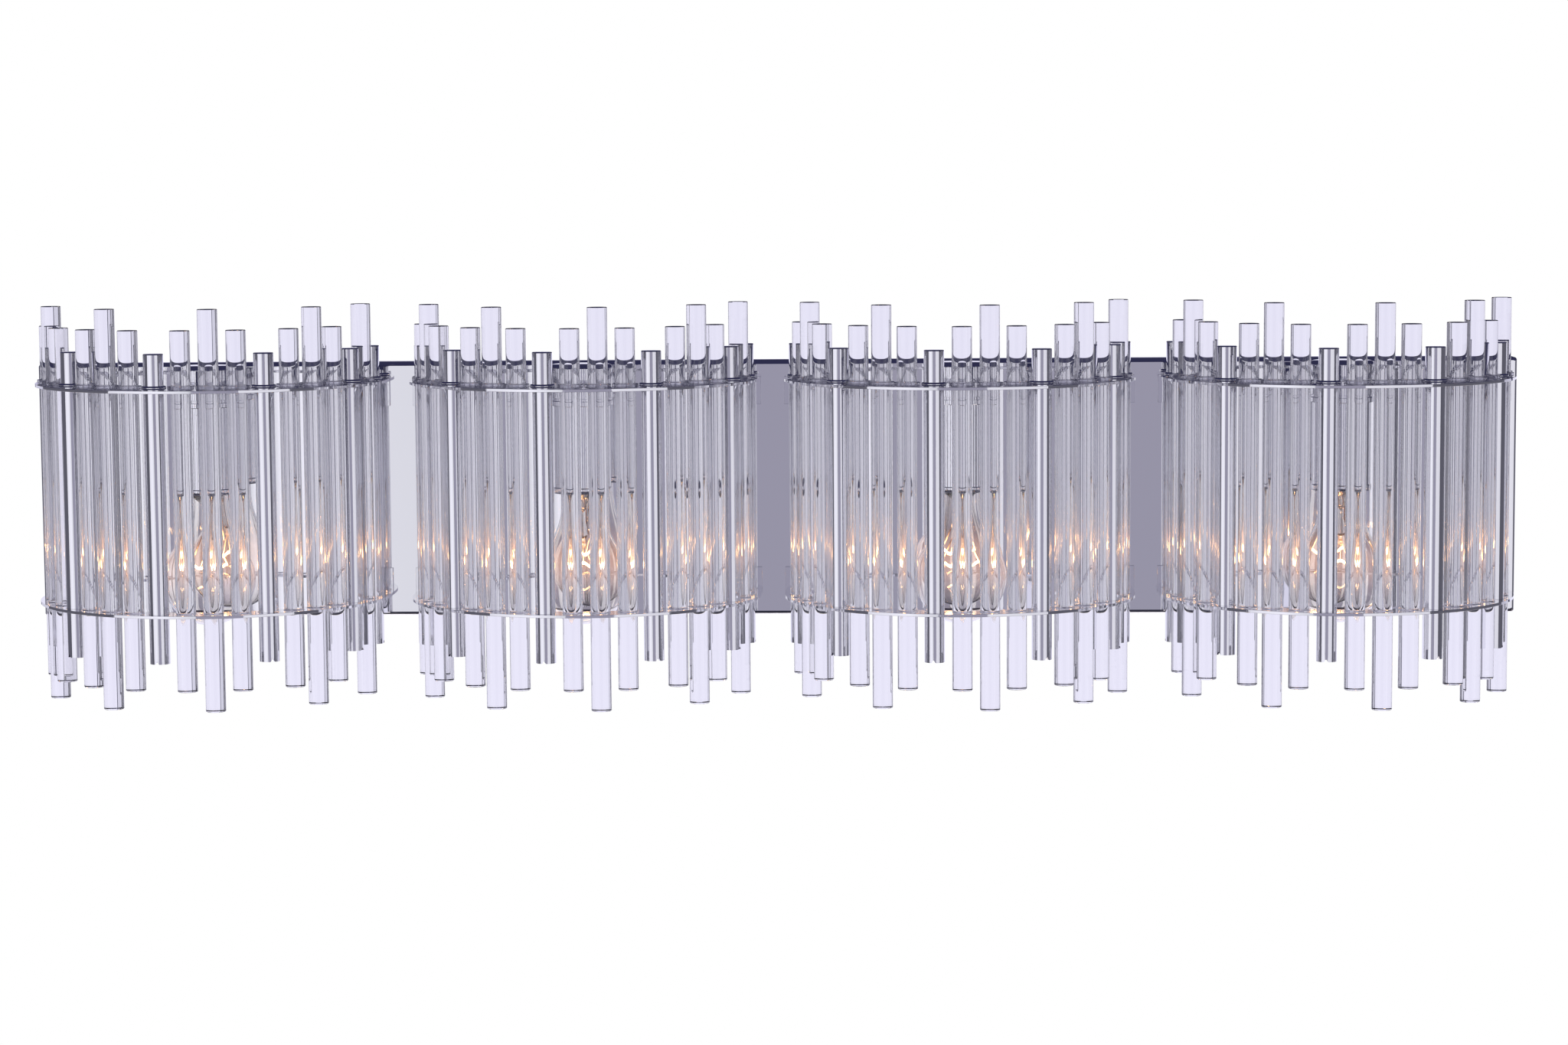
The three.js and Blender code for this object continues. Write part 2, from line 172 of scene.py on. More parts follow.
def light_panel(name, x, z, y, left, right=None, lift=1.0):
    """Upright glowing sheet across a range of x and of z at one depth: its colour runs evenly from
    the left edge to the right edge, or is the left one throughout, and its brightness is
    multiplied by lift at the bottom edge."""
    glow = bpy.data.materials.new(name)
    glow.use_nodes = True
    tree = glow.node_tree
    tree.nodes.clear()
    place, axes, across, fall, mix, emit, out = add_nodes(
        tree, "TexCoord", "SeparateXYZ", "MapRange", "MapRange", "Mix", "Emission",
        "OutputMaterial")
    mix.data_type = "RGBA"
    fill(across, {"From Min": x[0], "From Max": x[1]})
    fill(fall, {"From Min": z[0], "From Max": 0.0, "To Min": lift, "To Max": 1.0})
    fill(mix, {6: (*left, 1.0), 7: (*(right or left), 1.0)})
    join(tree, (place, "Object", axes, 0), (axes, "X", across, "Value"), (axes, "Z", fall, "Value"),
         (across, "Result", mix, 0), (mix, 2, emit, "Color"), (fall, "Result", emit, "Strength"),
         (emit, 0, out, "Surface"))
    corners = [(x[0], y, z[0]), (x[1], y, z[0]), (x[1], y, z[1]), (x[0], y, z[1])]
    panel = show(name, sheet_mesh(name, corners), glow)
    panel.visible_camera = False
    panel.visible_shadow = False


# In front: bright sheets to the left and right of a grey one behind the camera.
FRONT_Y = -2.45
FRONT_Z = (-0.95, 1.0)
BRIGHT = (1.00, 0.99, 1.09)
GREY = (0.34, 0.328, 0.42)
light_panel("panel_left", (-4.4, -1.5), FRONT_Z, FRONT_Y, (0.82, 0.81, 0.90), BRIGHT)
light_panel("panel_left_inner", (-1.5, -0.50), FRONT_Z, FRONT_Y, BRIGHT, (0.75, 0.75, 0.82))
light_panel("panel_middle", (-0.50, 0.84), FRONT_Z, FRONT_Y, GREY)
light_panel("panel_right", (0.84, 3.9), FRONT_Z, FRONT_Y, (0.84, 0.83, 0.91), (0.78, 0.77, 0.85))

# Behind: a pale sheet with a lavender band along its top, navy strips at its sides, duller wings
# beyond them and a navy header above, which outline the glass and the edge of the pan.
BACK_Y = 0.52
BAND_Z = 0.106
HEADER_Z = 0.125
BACK_Z = (-1.3, HEADER_Z)
BACK_LIFT = 1.22
PALE = (0.83, 0.815, 0.97)
LAVENDER = (0.50, 0.48, 0.66)
NAVY = (0.03, 0.03, 0.07)
DULL = (0.62, 0.61, 0.74)
light_panel("backdrop", (-0.72, 0.88), (BACK_Z[0], BAND_Z), BACK_Y, PALE, lift=BACK_LIFT)
light_panel("backdrop_cap", (-0.72, 0.88), (BAND_Z, HEADER_Z), BACK_Y, LAVENDER)
light_panel("backdrop_left_strip", (-0.757, -0.72), BACK_Z, BACK_Y, NAVY)
light_panel("backdrop_left_wing", (-1.15, -0.757), BACK_Z, BACK_Y, DULL, (0.66, 0.65, 0.78),
            BACK_LIFT)
light_panel("backdrop_right_strip", (0.88, 0.94), BACK_Z, BACK_Y, NAVY)
light_panel("backdrop_right_wing", (0.94, 1.25), BACK_Z, BACK_Y, DULL, (0.5, 0.49, 0.6), BACK_LIFT)
light_panel("backdrop_header", (-1.2, 1.3), (HEADER_Z, 0.62), BACK_Y, NAVY)

# The pale round floor, and a dark cloth just above it that only reflections and refractions show.
FLOOR_Z = -0.75
FLOOR_RADIUS = 1.3
FLOOR_SIDES = 96
CLOTH_Z = FLOOR_Z + 0.01
CLOTH_BACK = 0.10
turn = np.linspace(0.0, 2.0 * np.pi, FLOOR_SIDES + 1)[:-1]
rim = np.column_stack([FLOOR_RADIUS * np.cos(turn), FLOOR_RADIUS * np.sin(turn),
                       np.full(FLOOR_SIDES, FLOOR_Z)])
pale_floor, tree, shader = new_material("pale_floor")
fill(shader, {"Base Color": (0.84, 0.78, 0.74, 1.0), "Roughness": 0.7})
show("floor", sheet_mesh("floor", rim.tolist()), pale_floor)
dark_cloth, tree, shader = new_material("dark_cloth")
fill(shader, {"Base Color": (0.03, 0.03, 0.045, 1.0), "Roughness": 0.9})
cloth = show("dark_cloth", sheet_mesh("dark_cloth", [
    (-FLOOR_RADIUS, -FLOOR_RADIUS, CLOTH_Z), (FLOOR_RADIUS, -FLOOR_RADIUS, CLOTH_Z),
    (FLOOR_RADIUS, CLOTH_BACK, CLOTH_Z), (-FLOOR_RADIUS, CLOTH_BACK, CLOTH_Z)]), dark_cloth)
cloth.visible_camera = False
cloth.visible_diffuse = False
cloth.visible_shadow = False

# A wide soft lamp overhead lights the floor; the metal and the glass don't show it.
lamp_data = bpy.data.lights.new("soft_lamp", "AREA")
lamp_data.size = 2.0
lamp_data.energy = 70.0
lamp = bpy.data.objects.new("soft_lamp", lamp_data)
lamp.location = (0.0, 0.0, 2.0)
lamp.visible_camera = False
lamp.visible_glossy = False
lamp.visible_transmission = False
scene.collection.objects.link(lamp)

# ---------------------------------------------------------------------------------------------
# Back pan: one sheet of stainless steel folded into a shallow tray, polished to a mirror on the
# outside, open towards the wall. Its front edges and corners have a small pressed radius.

PAN_SHEET = 1.2 * MM
PAN_EDGE_RADIUS = 2.4 * MM
PAN_CORNER_RADIUS = 1.8 * MM
PAN_INNER_CORNER = 1.08 * MM
EDGE_STEPS = 6
MIRROR_TINT = (0.90, 0.90, 0.915, 1.0)


def surface(rows, closed=True, capped=False):
    """Quads between rows of points, given as an array of rows x points x 3. Where closed, the last
    point of a row joins the first, and where capped, the first and last rows are filled."""
    rows = np.asarray(rows, float)
    count, width = rows.shape[:2]
    index = np.arange(count * width).reshape(count, width)
    after = np.roll(index, -1, axis=1)
    span = slice(None) if closed else slice(0, width - 1)
    quads = np.stack([index[:-1, span], after[:-1, span], after[1:, span], index[1:, span]], -1)
    faces = quads.reshape(-1, 4).tolist()
    if capped:
        faces.append(index[0, ::-1].tolist())
        faces.append(index[-1].tolist())
    return rows.reshape(-1, 3), faces


def finish_piece(name, parts, material, body, stands_for=(), sharp=32.0):
    """One object from (points, faces) parts, smooth except where faces meet at more than the sharp
    angle in degrees. Points that coincide are merged, which closes seams and poles, and the faces
    are then turned outwards."""
    points = np.concatenate([part[0] for part in parts])
    faces = []
    start = 0
    for part_points, part_faces in parts:
        faces.extend([[corner + start for corner in face] for face in part_faces])
        start += len(part_points)
    mesh = bpy.data.meshes.new(name)
    mesh.from_pydata(points.tolist(), [], faces)
    shell = bmesh.new()
    shell.from_mesh(mesh)
    bmesh.ops.remove_doubles(shell, verts=shell.verts, dist=1e-6)
    bmesh.ops.recalc_face_normals(shell, faces=shell.faces)
    shell.to_mesh(mesh)
    shell.free()
    mesh.shade_smooth()
    mesh.set_sharp_from_angle(angle=math.radians(sharp))
    mesh.materials.append(material)
    made = bpy.data.objects.new(name, mesh)
    scene.collection.objects.link(made)
    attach(made, body)
    if stands_for:
        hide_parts(*stands_for)
    return made


def rounded_outline(half_width, half_height, radius, steps=EDGE_STEPS):
    """Points round a rectangle seen from the front: four quarter circles whose centres lie one
    radius inside the corners. Returns arrays of x and z."""
    quarter = np.linspace(0.0, np.pi / 2, steps + 1)
    angle = np.concatenate([quarter + k * np.pi / 2 for k in range(4)])
    side_x = np.repeat([1, -1, -1, 1], steps + 1)
    side_z = np.repeat([1, 1, -1, -1], steps + 1)
    x = side_x * (half_width - radius) + radius * np.cos(angle)
    z = side_z * (half_height - radius) + radius * np.sin(angle)
    return x, z


def tray_rows(half_width, half_height, levels):
    """One rounded outline for each (inset, y, corner radius) level, stacked along y."""
    rows = []
    for inset, y, radius in levels:
        x, z = rounded_outline(half_width - inset, half_height - inset, radius)
        rows.append(np.column_stack([x, np.full(len(x), y), z]))
    return np.array(rows)


# The polish: broad faint cloudiness from wiping and fine scattered scratches, which all the bright
# metal shares, each with its own amounts.
polish = bpy.data.node_groups.new("polish", "ShaderNodeTree")
polish.interface.new_socket("Vector", in_out="INPUT", socket_type="NodeSocketVector")
for socket in ("Least", "Most", "Cloud Scale", "Scratch"):
    polish.interface.new_socket(socket, in_out="INPUT", socket_type="NodeSocketFloat")
for socket in ("Roughness", "Height"):
    polish.interface.new_socket(socket, in_out="OUTPUT", socket_type="NodeSocketFloat")
given = polish.nodes.new("NodeGroupInput")
result = polish.nodes.new("NodeGroupOutput")
cloud, spread, hairline, thin, worn = add_nodes(
    polish, "TexNoise", "MapRange", "TexNoise", "MapRange", "Math")
cloud.inputs["Detail"].default_value = 3.0
fill(hairline, {"Scale": 900.0, "Detail": 2.0})
fill(spread, {"From Min": 0.35, "From Max": 0.70})
fill(thin, {"From Min": 0.58, "From Max": 0.75})
worn.operation = "MULTIPLY"
join(polish, (given, "Vector", cloud, "Vector"), (given, "Cloud Scale", cloud, "Scale"),
     (cloud, "Fac", spread, "Value"), (given, "Least", spread, "To Min"),
     (given, "Most", spread, "To Max"), (given, "Vector", hairline, "Vector"),
     (hairline, "Fac", thin, "Value"), (thin, "Result", worn, 0), (given, "Scratch", worn, 1),
     (spread, "Result", result, "Roughness"), (worn, 0, result, "Height"))


def bright_metal(name, tint, least, most, cloud_scale, scratch, bump=0.02):
    """Polished metal whose roughness drifts between least and most in soft clouds, with fine
    scratches as a bump."""
    material, tree, shader = new_material(name)
    place, finish, relief = add_nodes(tree, "TexCoord", "Group", "Bump")
    finish.node_tree = polish
    fill(finish, {"Least": least, "Most": most, "Cloud Scale": cloud_scale, "Scratch": scratch})
    fill(relief, {"Strength": bump, "Distance": 0.0002})
    fill(shader, {"Base Color": tint, "Metallic": 1.0})
    join(tree, (place, "Object", finish, "Vector"), (finish, "Roughness", shader, "Roughness"),
         (finish, "Height", relief, "Height"), (relief, "Normal", shader, "Normal"))
    return material


mirror_steel = bright_metal("mirror_steel", MIRROR_TINT, 0.0, 0.012, 14.0, 0.5, 0.006)

pan_low, pan_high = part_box("back_pan")
half_width = (pan_high.x - pan_low.x) / 2
half_height = (pan_high.z - pan_low.z) / 2
pan_face = pan_low.y
bend = np.linspace(0.0, np.pi / 2, EDGE_STEPS + 1)
inner_face = pan_face + PAN_SHEET
inner_radius = PAN_EDGE_RADIUS - PAN_SHEET
inside = [(2 * PAN_SHEET + PAN_EDGE_RADIUS, inner_face, PAN_CORNER_RADIUS)]
inside += [(PAN_SHEET + inner_radius * (1 - np.sin(a)), inner_face + inner_radius * (1 - np.cos(a)),
            PAN_INNER_CORNER) for a in bend]
inside += [(PAN_SHEET, pan_high.y, PAN_INNER_CORNER)]
outside = [(0.0, pan_high.y, PAN_CORNER_RADIUS)]
outside += [(PAN_EDGE_RADIUS * (1 - np.cos(a)), pan_face + PAN_EDGE_RADIUS * (1 - np.sin(a)),
             PAN_CORNER_RADIUS) for a in bend]
outside += [(2 * PAN_EDGE_RADIUS, pan_face, PAN_CORNER_RADIUS)]
rows = tray_rows(half_width, half_height, inside + outside)
finish_piece("back_pan_sheet", [surface(rows[::-1], capped=True)], mirror_steel, "light_bar",
             ("back_pan",))

# ---------------------------------------------------------------------------------------------
# Rings: flat chromed steel straps, 20 mm wide, bent edgewise into a half circle that runs straight
# back to the pan and turns flat against it in a tab. A row of holes takes the rods and the tubes.

RING_OUTER = 114.6 * MM
RING_WIDTH = 19.8 * MM
RING_THICKNESS = 1.8 * MM
ROD_CIRCLE = 104.6 * MM
ROD_STEP = math.radians(9.53)
ROD_PATTERN = "MSTSMSTSMSTSMSTSMTM"      # M metal tube, T tall glass rod, S short glass rod
ROD_RADIUS = 6.35 * MM
HOLE_RADIUS = 6.8 * MM
TAB_HEIGHT = 18.0 * MM
TAB_BEND = 1.4 * MM
TAB_BEND_STEPS = 6
HOLE_SIDE_STEPS = 8
EDGE_BREAK = 0.28 * MM
EDGE_BREAK_ANGLE = 50.0
HALF_PLACE = ROD_CIRCLE * ROD_STEP / 2
QUARTER = ROD_CIRCLE * np.pi / 2
BEND_LENGTH = TAB_BEND * np.pi / 2
rod_angles = (np.arange(len(ROD_PATTERN)) - (len(ROD_PATTERN) - 1) / 2) * ROD_STEP

chrome = bright_metal("chrome", (0.86, 0.86, 0.885, 1.0), 0.02, 0.07, 30.0, 1.0, 0.03)

ring_boxes = {n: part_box(f"shade_{n}_top_band") for n in SHADES}
shade_x = {n: (ring_boxes[n][0].x + ring_boxes[n][1].x) / 2 for n in SHADES}
arc_y = ring_boxes[1][0].y + RING_OUTER
ring_back = ring_boxes[1][1].y
leg = ring_back - TAB_BEND - arc_y
top_ring_z = ring_boxes[1][1].z - RING_THICKNESS
bottom_ring_z = -69.9 * MM


def square_walk(steps):
    """Once round the square from -1 to 1, steps to a side, as arrays of u and v."""
    side = np.linspace(-1.0, 1.0, steps + 1)[:-1]
    one = np.ones(steps)
    return np.concatenate([side, one, -side, -one]), np.concatenate([-one, side, one, -side])


def strap_point(along, across, lift, turn_down):
    """Places strap coordinates in the shade: along is the distance from the strap's middle at the
    rod circle, across the distance outwards, and lift the height in its thickness. The strap
    follows the circle for a quarter turn each way, runs straight back, and turns down, or up,
    against the pan."""
    angle = np.minimum(np.abs(along), QUARTER) / ROD_CIRCLE
    straight = np.clip(np.abs(along) - QUARTER, 0.0, None)
    bending = np.clip(straight - leg, 0.0, BEND_LENGTH) / TAB_BEND
    tab = np.clip(straight - leg - BEND_LENGTH, 0.0, None)
    radius = ROD_CIRCLE + across
    x = np.sign(along) * radius * np.sin(angle)
    y = arc_y - radius * np.cos(angle) + np.minimum(straight, leg)
    swing = TAB_BEND - RING_THICKNESS + lift if turn_down else TAB_BEND - lift
    y = y + np.where(bending > 0, swing * np.sin(bending), 0.0)
    drop = np.where(bending > 0, swing * (1 - np.cos(bending)), 0.0) + tab
    z = lift - drop if turn_down else lift + drop
    return x, y, z


def strap():
    """The part of the strap that carries rods, as patches: each place is a square with a round
    hole, made of rings of points between the hole and the square."""
    u, v = square_walk(HOLE_SIDE_STEPS)
    hole_angle = np.arctan2(v, u)
    hole_x = HOLE_RADIUS * np.cos(hole_angle)
    hole_y = ROD_CIRCLE + HOLE_RADIUS * np.sin(hole_angle)
    share = np.linspace(0.0, 1.0, 3)[:, None]
    patches = []
    for centre in rod_angles * ROD_CIRCLE:
        in_along = centre + np.arctan2(hole_x, hole_y) * ROD_CIRCLE
        in_across = np.hypot(hole_x, hole_y) - ROD_CIRCLE
        out_along = centre + u * HALF_PLACE
        out_across = v * RING_WIDTH / 2
        patches.append((in_along + share * (out_along - in_along),
                        in_across + share * (out_across - in_across)))
    return patches


def ring_piece(name, number, low, turn_down, stands_for):
    """One strap, built flat in (along, across) and bent by strap_point: patches round each hole,
    plain patches to the tab ends, top and bottom sheets, and the walls between them."""
    last = rod_angles[-1] * ROD_CIRCLE + HALF_PLACE
    lanes = np.linspace(-1.0, 1.0, HOLE_SIDE_STEPS + 1) * RING_WIDTH / 2
    parts = []

    def placed(along, across, lift):
        x, y, z = strap_point(along, across, np.full(along.shape, lift), turn_down)
        return np.stack([x + shade_x[number], y, z + low], axis=-1)

    def add_sheets(along, across, closed):
        for lift in (0.0, RING_THICKNESS):
            parts.append(surface(placed(along, across, lift), closed))

    def add_wall(along, across, closed=False):
        edges = [placed(along, across, lift) for lift in (0.0, RING_THICKNESS)]
        parts.append(surface(np.stack(edges), closed))

    for along, across in strap():
        add_sheets(along, across, True)
        add_wall(along[0], across[0], True)
    for side in (-1, 1):
        run = np.concatenate([
            [last],
            QUARTER + leg * np.array([0.3, 0.65, 1.0]),
            QUARTER + leg + np.linspace(0.0, 1.0, TAB_BEND_STEPS + 1)[1:] * BEND_LENGTH,
            [QUARTER + leg + BEND_LENGTH + TAB_HEIGHT - TAB_BEND],
        ]) * side
        along = np.repeat(run[:, None], len(lanes), axis=1)
        across = np.repeat(lanes[None, :], len(run), axis=0)
        add_sheets(along, across, False)
        add_wall(along[-1], across[-1])
        for edge in (0, -1):
            add_wall(along[:, edge], across[:, edge])
    span = np.linspace(-last, last, len(ROD_PATTERN) * HOLE_SIDE_STEPS + 1)
    for edge in (-1, 1):
        add_wall(span, np.full(len(span), edge * RING_WIDTH / 2))
    made = finish_piece(name, parts, chrome, "light_bar", stands_for)
    broken = made.modifiers.new("edges", "BEVEL")
    broken.width = EDGE_BREAK
    broken.segments = 2
    broken.limit_method = "ANGLE"
    broken.angle_limit = math.radians(EDGE_BREAK_ANGLE)


for n in SHADES:
    ring_piece(f"shade_{n}_top_ring", n, top_ring_z, True, (f"shade_{n}_top_band",))
    ring_piece(f"shade_{n}_bottom_ring", n, bottom_ring_z, False, (f"shade_{n}_tube_cage",))

# A small domed screw through the middle of each tab holds the strap to the pan.

SCREW_HEAD = 2.9 * MM
SCREW_SHANK = 1.4 * MM
SCREW_LENGTH = 3.0 * MM
SCREW_RISE = 1.7 * MM
SCREW_DROP = 9.9 * MM
dome = np.linspace(0.0, np.pi / 2, 7)
screw_rows = np.concatenate([
    np.column_stack([SCREW_HEAD * np.sin(dome), -SCREW_RISE * np.cos(dome)]),
    [(SCREW_SHANK, 0.0), (SCREW_SHANK, SCREW_LENGTH), (0.0, SCREW_LENGTH)],
])
screw_turn = np.linspace(0.0, 2.0 * np.pi, 33)[:-1]
for n in SHADES:
    for level, low, drop in (("top", top_ring_z, 1), ("bottom", bottom_ring_z, -1)):
        screws = []
        for side in (-1, 1):
            middle_z = low + (1 - drop) * RING_THICKNESS / 2 - drop * SCREW_DROP
            x = shade_x[n] + side * ROD_CIRCLE + np.outer(screw_rows[:, 0], np.cos(screw_turn))
            y = ring_back - RING_THICKNESS + np.repeat(screw_rows[:, 1:2], len(screw_turn), axis=1)
            z = middle_z + np.outer(screw_rows[:, 0], np.sin(screw_turn))
            screws.append(surface(np.stack([x, y, z], axis=-1)[::-1]))
        held = f"shade_{n}_top_band" if level == "top" else f"shade_{n}_tube_cage"
        finish_piece(f"shade_{n}_{level}_screws", screws, chrome, "light_bar", (held,))

# ---------------------------------------------------------------------------------------------
# Rods and tubes: solid clear glass rods with ground ends, and chromed tubes closed at the top. Each
# hangs by a collar on the upper ring, a clear one on a glass rod and a chromed one on a tube.

TOP_OF = {"T": 124.0 * MM, "S": 110.8 * MM, "M": 96.2 * MM}
BOTTOM_OF = {"T": -130.0 * MM, "S": -117.2 * MM, "M": -99.4 * MM}
ROD_SIDES = 64
ROD_CHAMFER = 0.35 * MM
TUBE_BORE = 5.1 * MM
TUBE_CAP = 2.0 * MM
TUBE_ROUND = 0.7 * MM
NOTCH_DEPTH = 1.9 * MM
NOTCH_HALF_ANGLE = 0.16
COLLAR_RADIUS = 8.3 * MM
COLLAR_THICKNESS = 2.4 * MM
COLLAR_ROUND = 0.4 * MM
COLLAR_GAP = 0.04 * MM
FLANGE_RADIUS = 7.9 * MM
FLANGE_THICKNESS = 2.5 * MM
FLANGE_ROUND = 1.2 * MM
DISC_SIDES = 48
SEAT_GAP = 0.3 * MM
GLASS_GROUPS = {"a": (1, 2, 3), "b": (5, 6, 7), "c": (9, 10, 11), "d": (13, 14, 15), "e": (17,)}


def turned(profile, sides, centre=(0.0, 0.0)):
    """Carries a half profile of (radius, height) rows once round an upright axis: each row becomes
    points at radius x (sin, -cos) of equal turns."""
    profile = np.asarray(profile, float)
    angle = np.linspace(0.0, 2.0 * np.pi, sides + 1)[:-1]
    x = centre[0] + np.outer(profile[:, 0], np.sin(angle))
    y = centre[1] - np.outer(profile[:, 0], np.cos(angle))
    z = np.repeat(profile[:, 1:2], sides, axis=1)
    return surface(np.stack([x, y, z], axis=-1))


def rounded_corner(radius, height, size, start, steps=4):
    """Quarter circle of that size in a half profile, about the centre (radius, height), from the
    start angle a quarter turn on, as rows of (radius, height)."""
    angle = start + np.linspace(0.0, np.pi / 2, steps + 1)
    return np.column_stack([radius + size * np.cos(angle), height + size * np.sin(angle)])


rod_glass, tree, shader = new_material("rod_glass")
place, streak_map, streak, drift, relief = add_nodes(
    tree, "TexCoord", "Mapping", "TexNoise", "MapRange", "Bump")
streak_map.inputs["Scale"].default_value = (260.0, 260.0, 9.0)
fill(streak, {"Scale": 1.0, "Detail": 1.0})
fill(drift, {"To Min": 0.0, "To Max": 0.005})
fill(relief, {"Strength": 0.012, "Distance": 0.0003})
fill(shader, {"Base Color": (0.972, 0.970, 0.976, 1.0), "Transmission Weight": 1.0, "IOR": 1.5})
join(tree, (place, "Object", streak_map, "Vector"), (streak_map, "Vector", streak, "Vector"),
     (streak, "Fac", drift, "Value"), (drift, "Result", shader, "Roughness"),
     (streak, "Fac", relief, "Height"), (relief, "Normal", shader, "Normal"))


def hazed(name, scale, least, most):
    """A material whose roughness drifts between least and most in fine noise of that scale,
    returned with its shader."""
    material, tree, shader = new_material(name)
    place, haze, drift = add_nodes(tree, "TexCoord", "TexNoise", "MapRange")
    fill(haze, {"Scale": scale})
    fill(drift, {"To Min": least, "To Max": most})
    join(tree, (place, "Object", haze, "Vector"), (haze, "Fac", drift, "Value"),
         (drift, "Result", shader, "Roughness"))
    return material, shader


collar_plastic, shader = hazed("collar_plastic", 420.0, 0.05, 0.22)
fill(shader, {"Base Color": (0.86, 0.86, 0.90, 1.0), "Transmission Weight": 1.0, "IOR": 1.46})


def rod_profile(kind):
    """Half profile of a solid rod with small chamfers, from the middle of one end to the other."""
    low, high = BOTTOM_OF[kind], TOP_OF[kind]
    return [(0.0, low), (ROD_RADIUS - ROD_CHAMFER, low), (ROD_RADIUS, low + ROD_CHAMFER),
            (ROD_RADIUS, high - ROD_CHAMFER), (ROD_RADIUS - ROD_CHAMFER, high), (0.0, high)]


def disc_profile(inner, outer, low, thickness, size):
    """Half profile of a washer with rounded outer corners, closed through its bore."""
    high = low + thickness
    return np.concatenate([
        [(inner, high), (inner, low)],
        rounded_corner(outer - size, low + size, size, -np.pi / 2),
        rounded_corner(outer - size, high - size, size, 0.0),
        [(inner, high)],
    ])


def tube_parts(centre, outward):
    """Tube with a rounded closed top and an open end, whose lower rim lifts in a small drain notch
    that faces outwards: the lift is a bell curve of the angle from that direction."""
    low, high = BOTTOM_OF["M"], TOP_OF["M"]
    profile = np.concatenate([
        [(0.0, high - TUBE_CAP), (TUBE_BORE, high - TUBE_CAP), (TUBE_BORE, low), (ROD_RADIUS, low)],
        [(ROD_RADIUS, low + 2 * NOTCH_DEPTH)],
        rounded_corner(ROD_RADIUS - TUBE_ROUND, high - TUBE_ROUND, TUBE_ROUND, 0.0),
        [(0.0, high)],
    ])
    points, faces = turned(profile, ROD_SIDES, centre)
    angle = np.arctan2(points[:, 0] - centre[0], centre[1] - points[:, 1])
    away = (angle - outward + np.pi) % (2 * np.pi) - np.pi
    rim = points[:, 2] <= low + 1e-9
    points[rim, 2] += NOTCH_DEPTH * np.exp(-((away[rim] / NOTCH_HALF_ANGLE) ** 4))
    return points, faces


seat = top_ring_z + RING_THICKNESS + SEAT_GAP
for n in SHADES:
    for index, (kind, angle) in enumerate(zip(ROD_PATTERN, rod_angles)):
        centre = (shade_x[n] + ROD_CIRCLE * math.sin(angle), arc_y - ROD_CIRCLE * math.cos(angle))
        label = f"{index + 1:02d}"
        if kind == "M":
            cage = (f"shade_{n}_tube_cage",)
            tube = tube_parts(centre, angle)
            finish_piece(f"shade_{n}_tube_{label}", [tube], chrome, "light_bar", cage)
            flange = disc_profile(ROD_RADIUS, FLANGE_RADIUS, seat, FLANGE_THICKNESS, FLANGE_ROUND)
            finish_piece(f"shade_{n}_flange_{label}", [turned(flange, DISC_SIDES, centre)], chrome,
                         "light_bar", cage)
        else:
            group = [letter for letter, members in GLASS_GROUPS.items() if index in members][0]
            hung = (f"shade_{n}_glass_rods_{group}",)
            rod = turned(rod_profile(kind), ROD_SIDES, centre)
            finish_piece(f"shade_{n}_rod_{label}", [rod], rod_glass, "light_bar", hung)
            bore = ROD_RADIUS + COLLAR_GAP
            collar = disc_profile(bore, COLLAR_RADIUS, seat, COLLAR_THICKNESS, COLLAR_ROUND)
            finish_piece(f"shade_{n}_collar_{label}", [turned(collar, DISC_SIDES, centre)],
                         collar_plastic, "light_bar", hung)

# ---------------------------------------------------------------------------------------------
# Sockets: a chromed cup on a short level arm that is screwed through the pan, with a plain chromed
# sleeve below it that hides the lampholder and the neck of the bulb.

ARM_RADIUS = 6.5 * MM
ARM_FLANGE_RADIUS = 11.0 * MM
ARM_FLANGE_THICKNESS = 2.0 * MM
ARM_FLANGE_EDGE = 0.6 * MM
ARM_FLARE = 0.8 * MM
ARM_FLARE_LENGTH = 4.5 * MM
NIPPLE_RADIUS = 4.8 * MM
NIPPLE_LENGTH = 9.0 * MM
NIPPLE_PITCH = 1.0 * MM
LOCK_NUT_REACH = 8.0 * MM
LOCK_NUT_THICKNESS = 3.0 * MM
NUT_BITE = 0.2 * MM
NUT_FACE = 0.35
ARM_DROP = 13.4 * MM
CUP_WALL = 1.2 * MM
CUP_ROUND = 2.6 * MM
CUP_LIP = 0.4 * MM
CUP_EDGE = 0.3 * MM
CUP_GROOVE = 0.5 * MM
CUP_GROOVE_LOW = 3.0 * MM
CUP_GROOVE_HIGH = 5.1 * MM
SLEEVE_WALL = 0.8 * MM
SLEEVE_BEAD = 0.55 * MM
SLEEVE_BEAD_HEIGHT = 3.4 * MM
SLEEVE_SLOPE = 0.5 * MM
SOCKET_SIDES = 72

cup_boxes = {n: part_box(f"socket_{n}_cup") for n in SHADES}
sleeve_low, sleeve_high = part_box("socket_1_sleeve")
sleeve_radius = (sleeve_high.x - sleeve_low.x) / 2
cup_radius = (cup_boxes[1][1].x - cup_boxes[1][0].x) / 2
bulb_y = cup_boxes[1][0].y + cup_radius
cup_top = cup_boxes[1][1].z
cup_bottom = cup_boxes[1][0].z
arm_z = cup_top - ARM_DROP


def laid_along_y(part, x, z):
    """Turns an upright part about the origin so that its height runs along +Y, at that x and z."""
    points, faces = part
    return np.column_stack([points[:, 0] + x, points[:, 2], z - points[:, 1]]), faces


